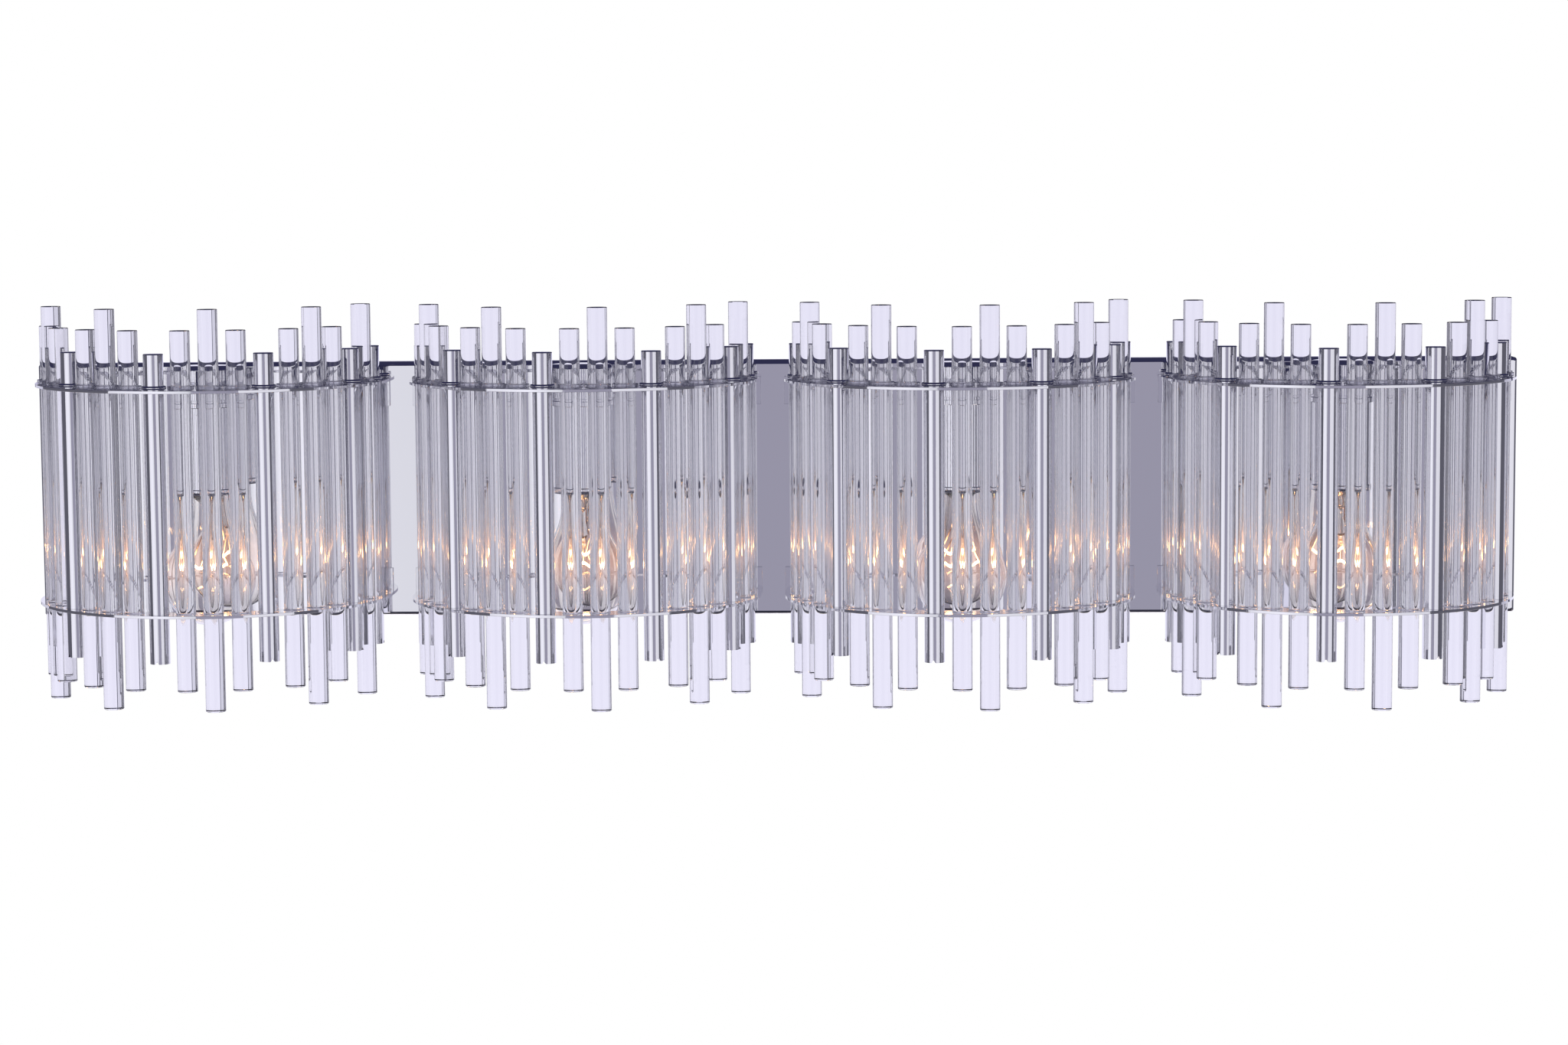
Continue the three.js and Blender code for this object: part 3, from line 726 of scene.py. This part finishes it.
def threaded(radius, depth, pitch, low, high, sides=32, rows_per_turn=6):
    """Rod whose radius falls by up to depth in a helix: the fall is half of 1 - cos of the height
    in turns less the angle in turns. The ends are filled to the axis."""
    count = int(round((high - low) / pitch * rows_per_turn)) + 1
    z = np.linspace(low, high, count)
    angle = np.linspace(0.0, 2.0 * np.pi, sides + 1)[:-1]
    phase = 2 * np.pi * z[:, None] / pitch - angle[None, :]
    r = radius - depth * 0.5 * (1 - np.cos(phase))
    r = np.concatenate([np.zeros((1, sides)), r, np.zeros((1, sides))])
    z = np.concatenate([[low], z, [high]])
    x = r * np.sin(angle)
    y = -r * np.cos(angle)
    return surface(np.stack([x, y, np.repeat(z[:, None], sides, axis=1)], axis=-1))


def hexagon(across_corners, bore, low, high, chamfer):
    """Hexagonal nut as rows of 48 points: the bore, the chamfered flats, and back to the bore. A
    corner's distance follows one over the cosine of the angle from the nearest flat."""
    angle = np.linspace(0.0, 2.0 * np.pi, 49)[:-1]
    flat = across_corners * math.cos(math.pi / 6)
    shape = flat / np.cos((angle + np.pi / 6) % (np.pi / 3) - np.pi / 6)
    faced = np.minimum(shape, flat + (across_corners - flat) * NUT_FACE)
    ring = np.full(48, bore)
    rows = []
    for r, z in ((ring, high), (ring, low), (faced, low), (shape, low + chamfer),
                 (shape, high - chamfer), (faced, high), (ring, high)):
        rows.append(np.column_stack([r * np.sin(angle), -r * np.cos(angle), np.full(48, z)]))
    return surface(np.array(rows))


brass_fitting = bright_metal("brass_fitting", (0.80, 0.62, 0.34, 1.0), 0.16, 0.32, 160.0, 1.0, 0.1)

for n in SHADES:
    centre = (shade_x[n], bulb_y)
    inside = cup_radius - CUP_WALL
    cup = np.concatenate([
        [(0.0, cup_top - CUP_WALL)],
        rounded_corner(inside - CUP_ROUND, cup_top - CUP_WALL - CUP_ROUND, CUP_ROUND, 0.0)[::-1],
        [(inside, cup_bottom + CUP_LIP), (inside + CUP_LIP, cup_bottom)],
        [(cup_radius - CUP_EDGE, cup_bottom), (cup_radius, cup_bottom + CUP_EDGE)],
        [(cup_radius, cup_bottom + CUP_GROOVE_LOW)],
        [(cup_radius - CUP_GROOVE, cup_bottom + CUP_GROOVE_LOW + CUP_GROOVE)],
        [(cup_radius - CUP_GROOVE, cup_bottom + CUP_GROOVE_HIGH - CUP_GROOVE)],
        [(cup_radius, cup_bottom + CUP_GROOVE_HIGH)],
        rounded_corner(cup_radius - CUP_ROUND, cup_top - CUP_ROUND, CUP_ROUND, 0.0, 6),
        [(0.0, cup_top)],
    ])
    node = (f"socket_{n}_cup",)
    finish_piece(f"socket_{n}_cup_shell", [turned(cup, SOCKET_SIDES, centre)], chrome,
                 "light_bar", node)
    back = cup_boxes[n][1].y - NIPPLE_LENGTH
    arm = [(0.0, bulb_y + inside), (ARM_RADIUS, bulb_y + inside)]
    arm += [(ARM_RADIUS, back - ARM_FLARE_LENGTH), (ARM_RADIUS + ARM_FLARE, back - 3.2 * MM)]
    arm += [(ARM_FLANGE_RADIUS - ARM_FLANGE_EDGE, back - ARM_FLANGE_THICKNESS)]
    arm += [(ARM_FLANGE_RADIUS, back - 1.3 * MM), (ARM_FLANGE_RADIUS, back), (0.0, back)]
    finish_piece(f"socket_{n}_arm", [laid_along_y(turned(arm, 48), shade_x[n], arm_z)], chrome,
                 "light_bar", node)
    nipple = threaded(NIPPLE_RADIUS, 0.4 * MM, NIPPLE_PITCH, back, back + NIPPLE_LENGTH)
    nut_low = pan_face + PAN_SHEET + 0.1 * MM
    nut = hexagon(LOCK_NUT_REACH, NIPPLE_RADIUS - NUT_BITE, nut_low, nut_low + LOCK_NUT_THICKNESS,
                  0.5 * MM)
    fitting = [laid_along_y(part, shade_x[n], arm_z) for part in (nipple, nut)]
    finish_piece(f"socket_{n}_nipple", fitting, brass_fitting, "light_bar", node)
    low, high = sleeve_low.z, sleeve_high.z
    bead = sleeve_radius + SLEEVE_BEAD
    bead_top = low + SLEEVE_BEAD_HEIGHT
    sleeve = [(sleeve_radius - SLEEVE_WALL, high), (sleeve_radius - SLEEVE_WALL, low + 0.4 * MM)]
    sleeve += [(sleeve_radius - 0.5 * SLEEVE_WALL, low), (sleeve_radius + 0.5 * SLEEVE_BEAD, low)]
    sleeve += [(bead, low + SLEEVE_SLOPE), (bead, bead_top)]
    sleeve += [(sleeve_radius, bead_top + SLEEVE_SLOPE), (sleeve_radius, high)]
    sleeve += [(sleeve_radius - SLEEVE_WALL, high)]
    finish_piece(f"socket_{n}_sleeve_tube", [turned(sleeve, SOCKET_SIDES, centre)], chrome,
                 "light_bar", (f"socket_{n}_sleeve",))

# Lampholder: black moulded phenolic with a fluted skirt, open downwards for the bulb's base.

HOLDER_SIDES = 96
HOLDER_FLUTES = 24
HOLDER_FLUTE_DEPTH = 0.35 * MM
HOLDER_BORE = 13.8 * MM
HOLDER_FLOOR = 30.0 * MM
HOLDER_TOP = 52.0 * MM
HOLDER_EDGE = 0.6 * MM
HOLDER_SHOULDER = 2.0 * MM
STEM_RADIUS = 5.0 * MM

phenolic, tree, shader = new_material("phenolic")
place, grain, tone, drift, relief = add_nodes(
    tree, "TexCoord", "TexNoise", "ValToRGB", "MapRange", "Bump")
fill(grain, {"Scale": 700.0, "Detail": 4.0})
tone.color_ramp.elements[0].color = (0.010, 0.010, 0.011, 1.0)
tone.color_ramp.elements[1].color = (0.030, 0.028, 0.028, 1.0)
fill(drift, {"To Min": 0.34, "To Max": 0.55})
fill(relief, {"Strength": 0.15, "Distance": 0.0001})
join(tree, (place, "Object", grain, "Vector"), (grain, "Fac", tone, "Fac"),
     (grain, "Fac", drift, "Value"), (grain, "Fac", relief, "Height"),
     (tone, "Color", shader, "Base Color"), (drift, "Result", shader, "Roughness"),
     (relief, "Normal", shader, "Normal"))

for n in SHADES:
    low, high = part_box(f"socket_{n}_lampholder")
    outer = (high.x - low.x) / 2
    profile = [(0.0, HOLDER_FLOOR), (HOLDER_BORE, HOLDER_FLOOR), (HOLDER_BORE, low.z + HOLDER_EDGE)]
    profile += [(HOLDER_BORE + HOLDER_EDGE, low.z), (outer - HOLDER_EDGE, low.z)]
    profile += [(outer, low.z + HOLDER_EDGE), (outer, HOLDER_TOP - HOLDER_SHOULDER)]
    profile += [(outer - HOLDER_SHOULDER, HOLDER_TOP), (STEM_RADIUS + 1.0 * MM, HOLDER_TOP)]
    profile += [(STEM_RADIUS, HOLDER_TOP + 1.0 * MM), (STEM_RADIUS, high.z), (0.0, high.z)]
    points, faces = turned(profile, HOLDER_SIDES, (shade_x[n], bulb_y))
    away_x, away_y = points[:, 0] - shade_x[n], points[:, 1] - bulb_y
    skirt = np.hypot(away_x, away_y) > outer - 0.1 * MM
    flute = 0.5 * (1 - np.cos(HOLDER_FLUTES * np.arctan2(away_x, -away_y)))
    shrink = np.where(skirt, 1.0 - HOLDER_FLUTE_DEPTH / outer * flute, 1.0)
    points[:, 0] = shade_x[n] + away_x * shrink
    points[:, 1] = bulb_y + away_y * shrink
    finish_piece(f"socket_{n}_holder", [(points, faces)], phenolic, "light_bar",
                 (f"socket_{n}_lampholder",))

# ---------------------------------------------------------------------------------------------
# Bulbs: a clear pear bulb of thin blown glass, base up, with a threaded nickelled brass base.
# Inside stand a glass stem, two lead wires, thin supports and a coiled filament, which is alight.

BULB_RADIUS = 30.0 * MM
BULB_WALL = 0.8 * MM
SHOULDER_ANGLE = math.radians(35.0)
SHOULDER_LEAD = 12.0 * MM
NECK_RADIUS = 13.4 * MM
NECK_START = -4.0 * MM
NECK_LEAD = 12.0 * MM
BASE_THREAD_PITCH = 3.6 * MM
BASE_THREAD_DEPTH = 0.8 * MM
CONTACT_RADIUS = 4.5 * MM
STEM_TUBE_RADIUS = 3.1 * MM
STEM_FLARE_RADIUS = 10.5 * MM
STEM_FOOT = -29.0 * MM
BUTTON_RADIUS = 2.0 * MM
BUTTON_Z = -33.0 * MM
BUTTON_STALK = 1.2 * MM
SOFT_ANGLE = 60.0
THREAD_ANGLE = 50.0
FILAMENT_Z = -46.2 * MM
FILAMENT_SPAN = 12.0 * MM
FILAMENT_WAVE = 1.5 * MM
COIL_RADIUS = 0.75 * MM
COIL_WIRE = 0.25 * MM
COIL_TURNS = 34
COIL_POINTS_PER_TURN = 10
LEAD_WIRE = 0.35 * MM
SUPPORT_WIRE = 0.16 * MM
LEAD_SPREAD = 1.6 * MM
LEAD_START = -2.0 * MM
LEAD_POINTS = 30
SUPPORT_REACHES = (-0.5, 0.0, 0.5)
SUPPORT_ROOT = 1.5 * MM
SHELL_DROP = 5.0 * MM
SHELL_ROWS = 61
SHELL_SIDES = 48
SHELL_PLAIN = 3.0 * MM
SHELL_FADE = 2.0 * MM
SHELL_SHEET = 0.5 * MM


def bulb_profile(inset, bottom, top):
    """Half profile of the bulb that far inside its outer surface: a sphere up to the shoulder
    angle, a cubic curve that leaves it along its tangent, and an upright neck."""
    centre = bottom + BULB_RADIUS
    radius = BULB_RADIUS - inset
    neck = NECK_RADIUS - inset
    angle = np.linspace(-np.pi / 2, SHOULDER_ANGLE, 26)
    sphere = np.column_stack([radius * np.cos(angle), centre + radius * np.sin(angle)])
    sphere[0, 0] = 0.0
    lean = np.array([-math.sin(SHOULDER_ANGLE), math.cos(SHOULDER_ANGLE)]) * SHOULDER_LEAD
    a, b = sphere[-1], sphere[-1] + lean
    c, d = np.array([neck, NECK_START - NECK_LEAD]), np.array([neck, NECK_START])
    t = np.linspace(0.0, 1.0, 13)[1:, None]
    curve = (1 - t) ** 3 * a + 3 * (1 - t) ** 2 * t * b + 3 * (1 - t) * t ** 2 * c + t ** 3 * d
    return np.concatenate([sphere, curve, [(neck, top)]])


def wire(path, radius, sides=8):
    """Round wire along a path of points: a ring in the plane across the path at each point, turned
    so that its first axis stays as near as it can to the one before. The ends are filled."""
    path = np.asarray(path, float)
    tangent = np.gradient(path, axis=0)
    tangent /= np.linalg.norm(tangent, axis=1, keepdims=True)
    reference = np.array([0.0, 1.0, 0.0])
    first = np.empty_like(path)
    for i, direction in enumerate(tangent):
        reference = reference - direction * reference.dot(direction)
        reference = reference / np.linalg.norm(reference)
        first[i] = reference
    second = np.cross(tangent, first)
    angle = np.linspace(0.0, 2.0 * np.pi, sides + 1)[:-1]
    rows = (path[:, None, :] + radius * (np.cos(angle)[None, :, None] * first[:, None, :]
                                         + np.sin(angle)[None, :, None] * second[:, None, :]))
    return surface(rows, capped=True)


def coil_height(share):
    """Height of the coil's middle line at that share of its half span: a cosine wave about
    FILAMENT_Z that crests at the middle and at both ends."""
    return FILAMENT_Z + FILAMENT_WAVE * np.cos(2 * np.pi * share)


# Painted light: a warm glow painted as emission into the bulb's glass, its stem and its wires,
# strongest level with the coil and gone at the reach above and below. It stands in for the coil's
# light falling on them and the glare round it.
painted_glow = bpy.data.node_groups.new("painted_glow", "ShaderNodeTree")
painted_glow.interface.new_socket("Vector", in_out="INPUT", socket_type="NodeSocketVector")
for socket in ("Reach", "Strength"):
    painted_glow.interface.new_socket(socket, in_out="INPUT", socket_type="NodeSocketFloat")
painted_glow.interface.new_socket("Value", in_out="OUTPUT", socket_type="NodeSocketFloat")
given = painted_glow.nodes.new("NodeGroupInput")
result = painted_glow.nodes.new("NodeGroupOutput")
axes, apart, size, fall = add_nodes(painted_glow, "SeparateXYZ", "Math", "Math", "MapRange")
apart.operation = "SUBTRACT"
apart.inputs[1].default_value = FILAMENT_Z
size.operation = "ABSOLUTE"
fall.interpolation_type = "SMOOTHERSTEP"
fall.inputs["To Max"].default_value = 0.0
join(painted_glow, (given, "Vector", axes, 0), (axes, "Z", apart, 0), (apart, 0, size, 0),
     (size, 0, fall, "Value"), (given, "Reach", fall, "From Max"),
     (given, "Strength", fall, "To Min"), (fall, "Result", result, "Value"))


def paint_glow(tree, shader, colour, reach, strength):
    """Paints a glow of that colour into a material as emission, fading with height from the coil.
    """
    place, glow = add_nodes(tree, "TexCoord", "Group")
    glow.node_tree = painted_glow
    fill(glow, {"Reach": reach, "Strength": strength})
    shader.inputs["Emission Color"].default_value = colour
    join(tree, (place, "Object", glow, "Vector"), (glow, "Value", shader, "Emission Strength"))


def rippled_glass(name, tint, roughness, ior, scale, strength, distance):
    """Clear glass with soft waves of that noise scale in its surface, returned with its tree and
    its shader."""
    material, tree, shader = new_material(name)
    place, ripple, relief = add_nodes(tree, "TexCoord", "TexNoise", "Bump")
    fill(ripple, {"Scale": scale})
    fill(relief, {"Strength": strength, "Distance": distance})
    fill(shader, {"Base Color": tint, "Roughness": roughness, "Transmission Weight": 1.0,
                  "IOR": ior})
    join(tree, (place, "Object", ripple, "Vector"), (ripple, "Fac", relief, "Height"),
         (relief, "Normal", shader, "Normal"))
    return material, tree, shader


# Both glasses get a painted warm glow about the coil: painted light for the glare round it in the
# bulb and for the coil's light on the stem.
bulb_glass, tree, shader = rippled_glass(
    "bulb_glass", (0.99, 0.975, 0.955, 1.0), 0.0, 1.5, 55.0, 0.03, 0.0008)
paint_glow(tree, shader, (1.0, 0.42, 0.14, 1.0), 24.0 * MM, 0.05)
stem_glass, tree, shader = rippled_glass(
    "stem_glass", (0.95, 0.93, 0.92, 1.0), 0.02, 1.52, 300.0, 0.2, 0.0006)
paint_glow(tree, shader, (1.0, 0.50, 0.22, 1.0), 24.0 * MM, 0.9)

tungsten, tree, shader = new_material("lit_tungsten")
place, hot, heat = add_nodes(tree, "TexCoord", "TexNoise", "ValToRGB")
hot.inputs["Scale"].default_value = 180.0
heat.color_ramp.elements[0].color = (1.0, 0.50, 0.17, 1.0)
heat.color_ramp.elements[1].color = (1.0, 0.66, 0.31, 1.0)
fill(shader, {"Base Color": (0.6, 0.5, 0.4, 1.0), "Roughness": 0.5, "Emission Strength": 60.0})
join(tree, (place, "Object", hot, "Vector"), (hot, "Fac", heat, "Fac"),
     (heat, "Color", shader, "Emission Color"))

lead_metal = bright_metal("lead_metal", (0.78, 0.45, 0.32, 1.0), 0.2, 0.4, 400.0, 1.0, 0.1)
tree = lead_metal.node_tree
# Painted light: the lead wires glow strongly near the coil, in place of the coil's light falling on
# them.
paint_glow(tree, tree.nodes["Principled BSDF"], (1.0, 0.52, 0.20, 1.0), 15.0 * MM, 9.0)
base_metal = bright_metal("base_metal", (0.80, 0.74, 0.62, 1.0), 0.14, 0.30, 180.0, 1.0, 0.08)

black_glass, shader = hazed("black_glass", 500.0, 0.12, 0.30)
fill(shader, {"Base Color": (0.012, 0.012, 0.016, 1.0)})

for n in SHADES:
    body = f"bulb_{n}"
    low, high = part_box(f"bulb_{n}_glass")
    centre = (shade_x[n], bulb_y)
    outer = bulb_profile(0.0, low.z, high.z)
    inner = bulb_profile(BULB_WALL, low.z, high.z)
    walls = [turned(profile, SOCKET_SIDES, centre)
             for profile in (outer, [outer[-1], inner[-1]], inner[::-1])]
    finish_piece(f"bulb_{n}_envelope", walls, bulb_glass, body, (f"bulb_{n}_glass",),
                 SOFT_ANGLE)

    cap = (f"bulb_{n}_base",)
    base_low, base_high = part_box(f"bulb_{n}_base")
    base_radius = (base_high.x - base_low.x) / 2
    shell_top = base_high.z - SHELL_DROP
    z = np.linspace(base_low.z, shell_top, SHELL_ROWS)
    angle = np.linspace(0.0, 2.0 * np.pi, SHELL_SIDES + 1)[:-1]
    fade = np.clip(np.minimum(z - base_low.z - SHELL_PLAIN, shell_top - z) / SHELL_FADE, 0.0, 1.0)
    phase = 2 * np.pi * z[:, None] / BASE_THREAD_PITCH - angle
    thread = base_radius - BASE_THREAD_DEPTH * fade[:, None] * 0.5 * (1 - np.cos(phase))
    heights = np.repeat(z[:, None], SHELL_SIDES, axis=1)
    skins = [np.stack([centre[0] + r * np.sin(angle), centre[1] - r * np.cos(angle), heights], -1)
             for r in (thread, thread - SHELL_SHEET)]
    shell = surface(np.concatenate([skins[0], skins[1][::-1], skins[0][:1]]))
    finish_piece(f"bulb_{n}_screw_shell", [shell], base_metal, body, cap,
                 THREAD_ANGLE)
    cone = [(0.0, shell_top - 1.0 * MM), (base_radius - 1.2 * MM, shell_top - 1.0 * MM)]
    cone += [(base_radius - 0.8 * MM, shell_top), (base_radius - 3.5 * MM, shell_top + 2.0 * MM)]
    cone += [(CONTACT_RADIUS, base_high.z - 1.2 * MM), (0.0, base_high.z - 1.2 * MM)]
    finish_piece(f"bulb_{n}_insulator", [turned(cone, 48, centre)], black_glass, body,
                 cap)
    tip = [(0.0, base_high.z - 1.8 * MM), (CONTACT_RADIUS, base_high.z - 1.8 * MM)]
    tip += [(CONTACT_RADIUS, base_high.z - 1.1 * MM)]
    tip += [(0.8 * CONTACT_RADIUS, base_high.z - 0.3 * MM)]
    tip += [(0.4 * CONTACT_RADIUS, base_high.z), (0.0, base_high.z)]
    finish_piece(f"bulb_{n}_contact", [turned(tip, 32, centre)], base_metal, body, cap)

    mount = (f"bulb_{n}_filament",)
    stem = [(0.0, STEM_FOOT), (STEM_TUBE_RADIUS * 0.75, STEM_FOOT + 0.6 * MM)]
    stem += [(STEM_TUBE_RADIUS, STEM_FOOT + 3.0 * MM), (STEM_TUBE_RADIUS, -9.0 * MM)]
    stem += [(STEM_TUBE_RADIUS + 1.6 * MM, -5.0 * MM), (STEM_FLARE_RADIUS, 0.2 * MM)]
    stem += [(STEM_FLARE_RADIUS, 0.8 * MM), (STEM_TUBE_RADIUS, -3.5 * MM)]
    stem += [(1.8 * MM, -9.0 * MM), (0.0, -12.0 * MM)]
    slant = 0.7 * BUTTON_RADIUS
    button = [(0.0, BUTTON_Z - BUTTON_RADIUS), (slant, BUTTON_Z - slant), (BUTTON_RADIUS, BUTTON_Z)]
    button += [(slant, BUTTON_Z + slant), (BUTTON_STALK, BUTTON_Z + 1.8 * MM)]
    button += [(BUTTON_STALK, STEM_FOOT + 0.5 * MM), (0.0, STEM_FOOT + 0.5 * MM)]
    finish_piece(f"bulb_{n}_stem", [turned(stem, 32, centre), turned(button, 24, centre)],
                 stem_glass, body, mount, SOFT_ANGLE)

    t = np.linspace(0.0, 1.0, LEAD_POINTS)
    opening = np.clip((t - 0.35) / 0.65, 0.0, 1.0) ** 1.3
    spread = LEAD_SPREAD + (FILAMENT_SPAN - LEAD_SPREAD) * opening
    z = LEAD_START + (FILAMENT_Z + FILAMENT_WAVE - LEAD_START) * t
    leads = [wire(np.column_stack([centre[0] + side * spread, np.full(LEAD_POINTS, centre[1]), z]),
                  LEAD_WIRE) for side in (-1, 1)]
    finish_piece(f"bulb_{n}_leads", leads, lead_metal, body, mount, SOFT_ANGLE)

    supports = []
    s = np.linspace(0.0, 1.0, 14)[:, None]
    for reach in SUPPORT_REACHES:
        start = np.array([centre[0] + reach * SUPPORT_ROOT, centre[1], BUTTON_Z])
        end = np.array([centre[0] + reach * FILAMENT_SPAN, centre[1], coil_height(reach)])
        supports.append(wire(start * (1 - s) + end * s, SUPPORT_WIRE, 6))
    finish_piece(f"bulb_{n}_supports", supports, lead_metal, body, mount, SOFT_ANGLE)

    s = np.linspace(-1.0, 1.0, COIL_TURNS * COIL_POINTS_PER_TURN + 1)
    spin = s * COIL_TURNS * np.pi
    coil = np.column_stack([
        centre[0] + FILAMENT_SPAN * s,
        centre[1] + COIL_RADIUS * np.cos(spin),
        coil_height(s) + COIL_RADIUS * np.sin(spin),
    ])
    finish_piece(f"bulb_{n}_coil", [wire(coil, COIL_WIRE, 6)], tungsten, body, mount,
                 SOFT_ANGLE)

# ---------------------------------------------------------------------------------------------
# Wall fixing: a zinc-plated steel strip on the wall, two threaded studs with lock nuts, chromed cap
# nuts that hold the pan, and a green ground screw.

BRACKET_CORNER = 4.0 * MM
BRACKET_EDGE = 0.3 * MM
STUD_RADIUS = 2.1 * MM
STUD_PITCH = 0.8 * MM
STUD_NUT_REACH = 4.6 * MM
STUD_NUT_THICKNESS = 2.8 * MM
STUD_NUT_FRONT = -5.1 * MM
STUD_THREAD = 0.3 * MM
GROUND_HEAD_REACH = 4.2 * MM
GROUND_HEAD_THICKNESS = 3.0 * MM

zinc = bright_metal("zinc_plate", (0.62, 0.64, 0.66, 1.0), 0.28, 0.48, 60.0, 1.0, 0.2)
ground_green = bright_metal("ground_green", (0.08, 0.36, 0.12, 1.0), 0.3, 0.5, 90.0, 1.0, 0.2)

low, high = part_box("wall_bracket")
levels = [(BRACKET_EDGE, high.y, BRACKET_CORNER), (0.0, high.y - BRACKET_EDGE, BRACKET_CORNER),
          (0.0, low.y + BRACKET_EDGE, BRACKET_CORNER), (BRACKET_EDGE, low.y, BRACKET_CORNER)]
strip = tray_rows((high.x - low.x) / 2, (high.z - low.z) / 2, levels)
finish_piece("wall_strip", [surface(strip, capped=True)], zinc, "light_bar",
             ("wall_bracket",))

for side in ("left", "right"):
    low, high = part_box(f"stud_{side}")
    x, z = (low.x + high.x) / 2, (low.z + high.z) / 2
    rod = threaded(STUD_RADIUS, STUD_THREAD, STUD_PITCH, low.y, high.y, 24)
    nut = hexagon(STUD_NUT_REACH, STUD_RADIUS - NUT_BITE, STUD_NUT_FRONT,
                  STUD_NUT_FRONT + STUD_NUT_THICKNESS, 0.4 * MM)
    finish_piece(f"stud_{side}_thread", [laid_along_y(rod, x, z), laid_along_y(nut, x, z)], zinc,
                 "light_bar", (f"stud_{side}",))
    low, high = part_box(f"cap_nut_{side}")
    radius = (high.x - low.x) / 2
    sweep = np.linspace(-np.pi / 2, 0.0, 10)
    dome = np.column_stack([radius * np.cos(sweep), low.y + radius + radius * np.sin(sweep)])
    dome[0, 0] = 0.0
    skirt = [(radius, high.y - 1.0 * MM), (radius - 0.5 * MM, high.y), (0.0, high.y)]
    cap = laid_along_y(turned(np.concatenate([dome, skirt]), 48), x, z)
    finish_piece(f"cap_nut_{side}_dome", [cap], chrome, "light_bar", (f"cap_nut_{side}",))

low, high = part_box("ground_screw")
x, z = (low.x + high.x) / 2, (low.z + high.z) / 2
head_back = low.y + GROUND_HEAD_THICKNESS
shank = threaded(STUD_RADIUS, STUD_THREAD, STUD_PITCH, head_back, high.y, 24)
head = hexagon(GROUND_HEAD_REACH, 0.05 * MM, low.y, head_back, 0.5 * MM)
finish_piece("ground_screw_hex", [laid_along_y(shank, x, z), laid_along_y(head, x, z)],
             ground_green, "light_bar", ("ground_screw",))
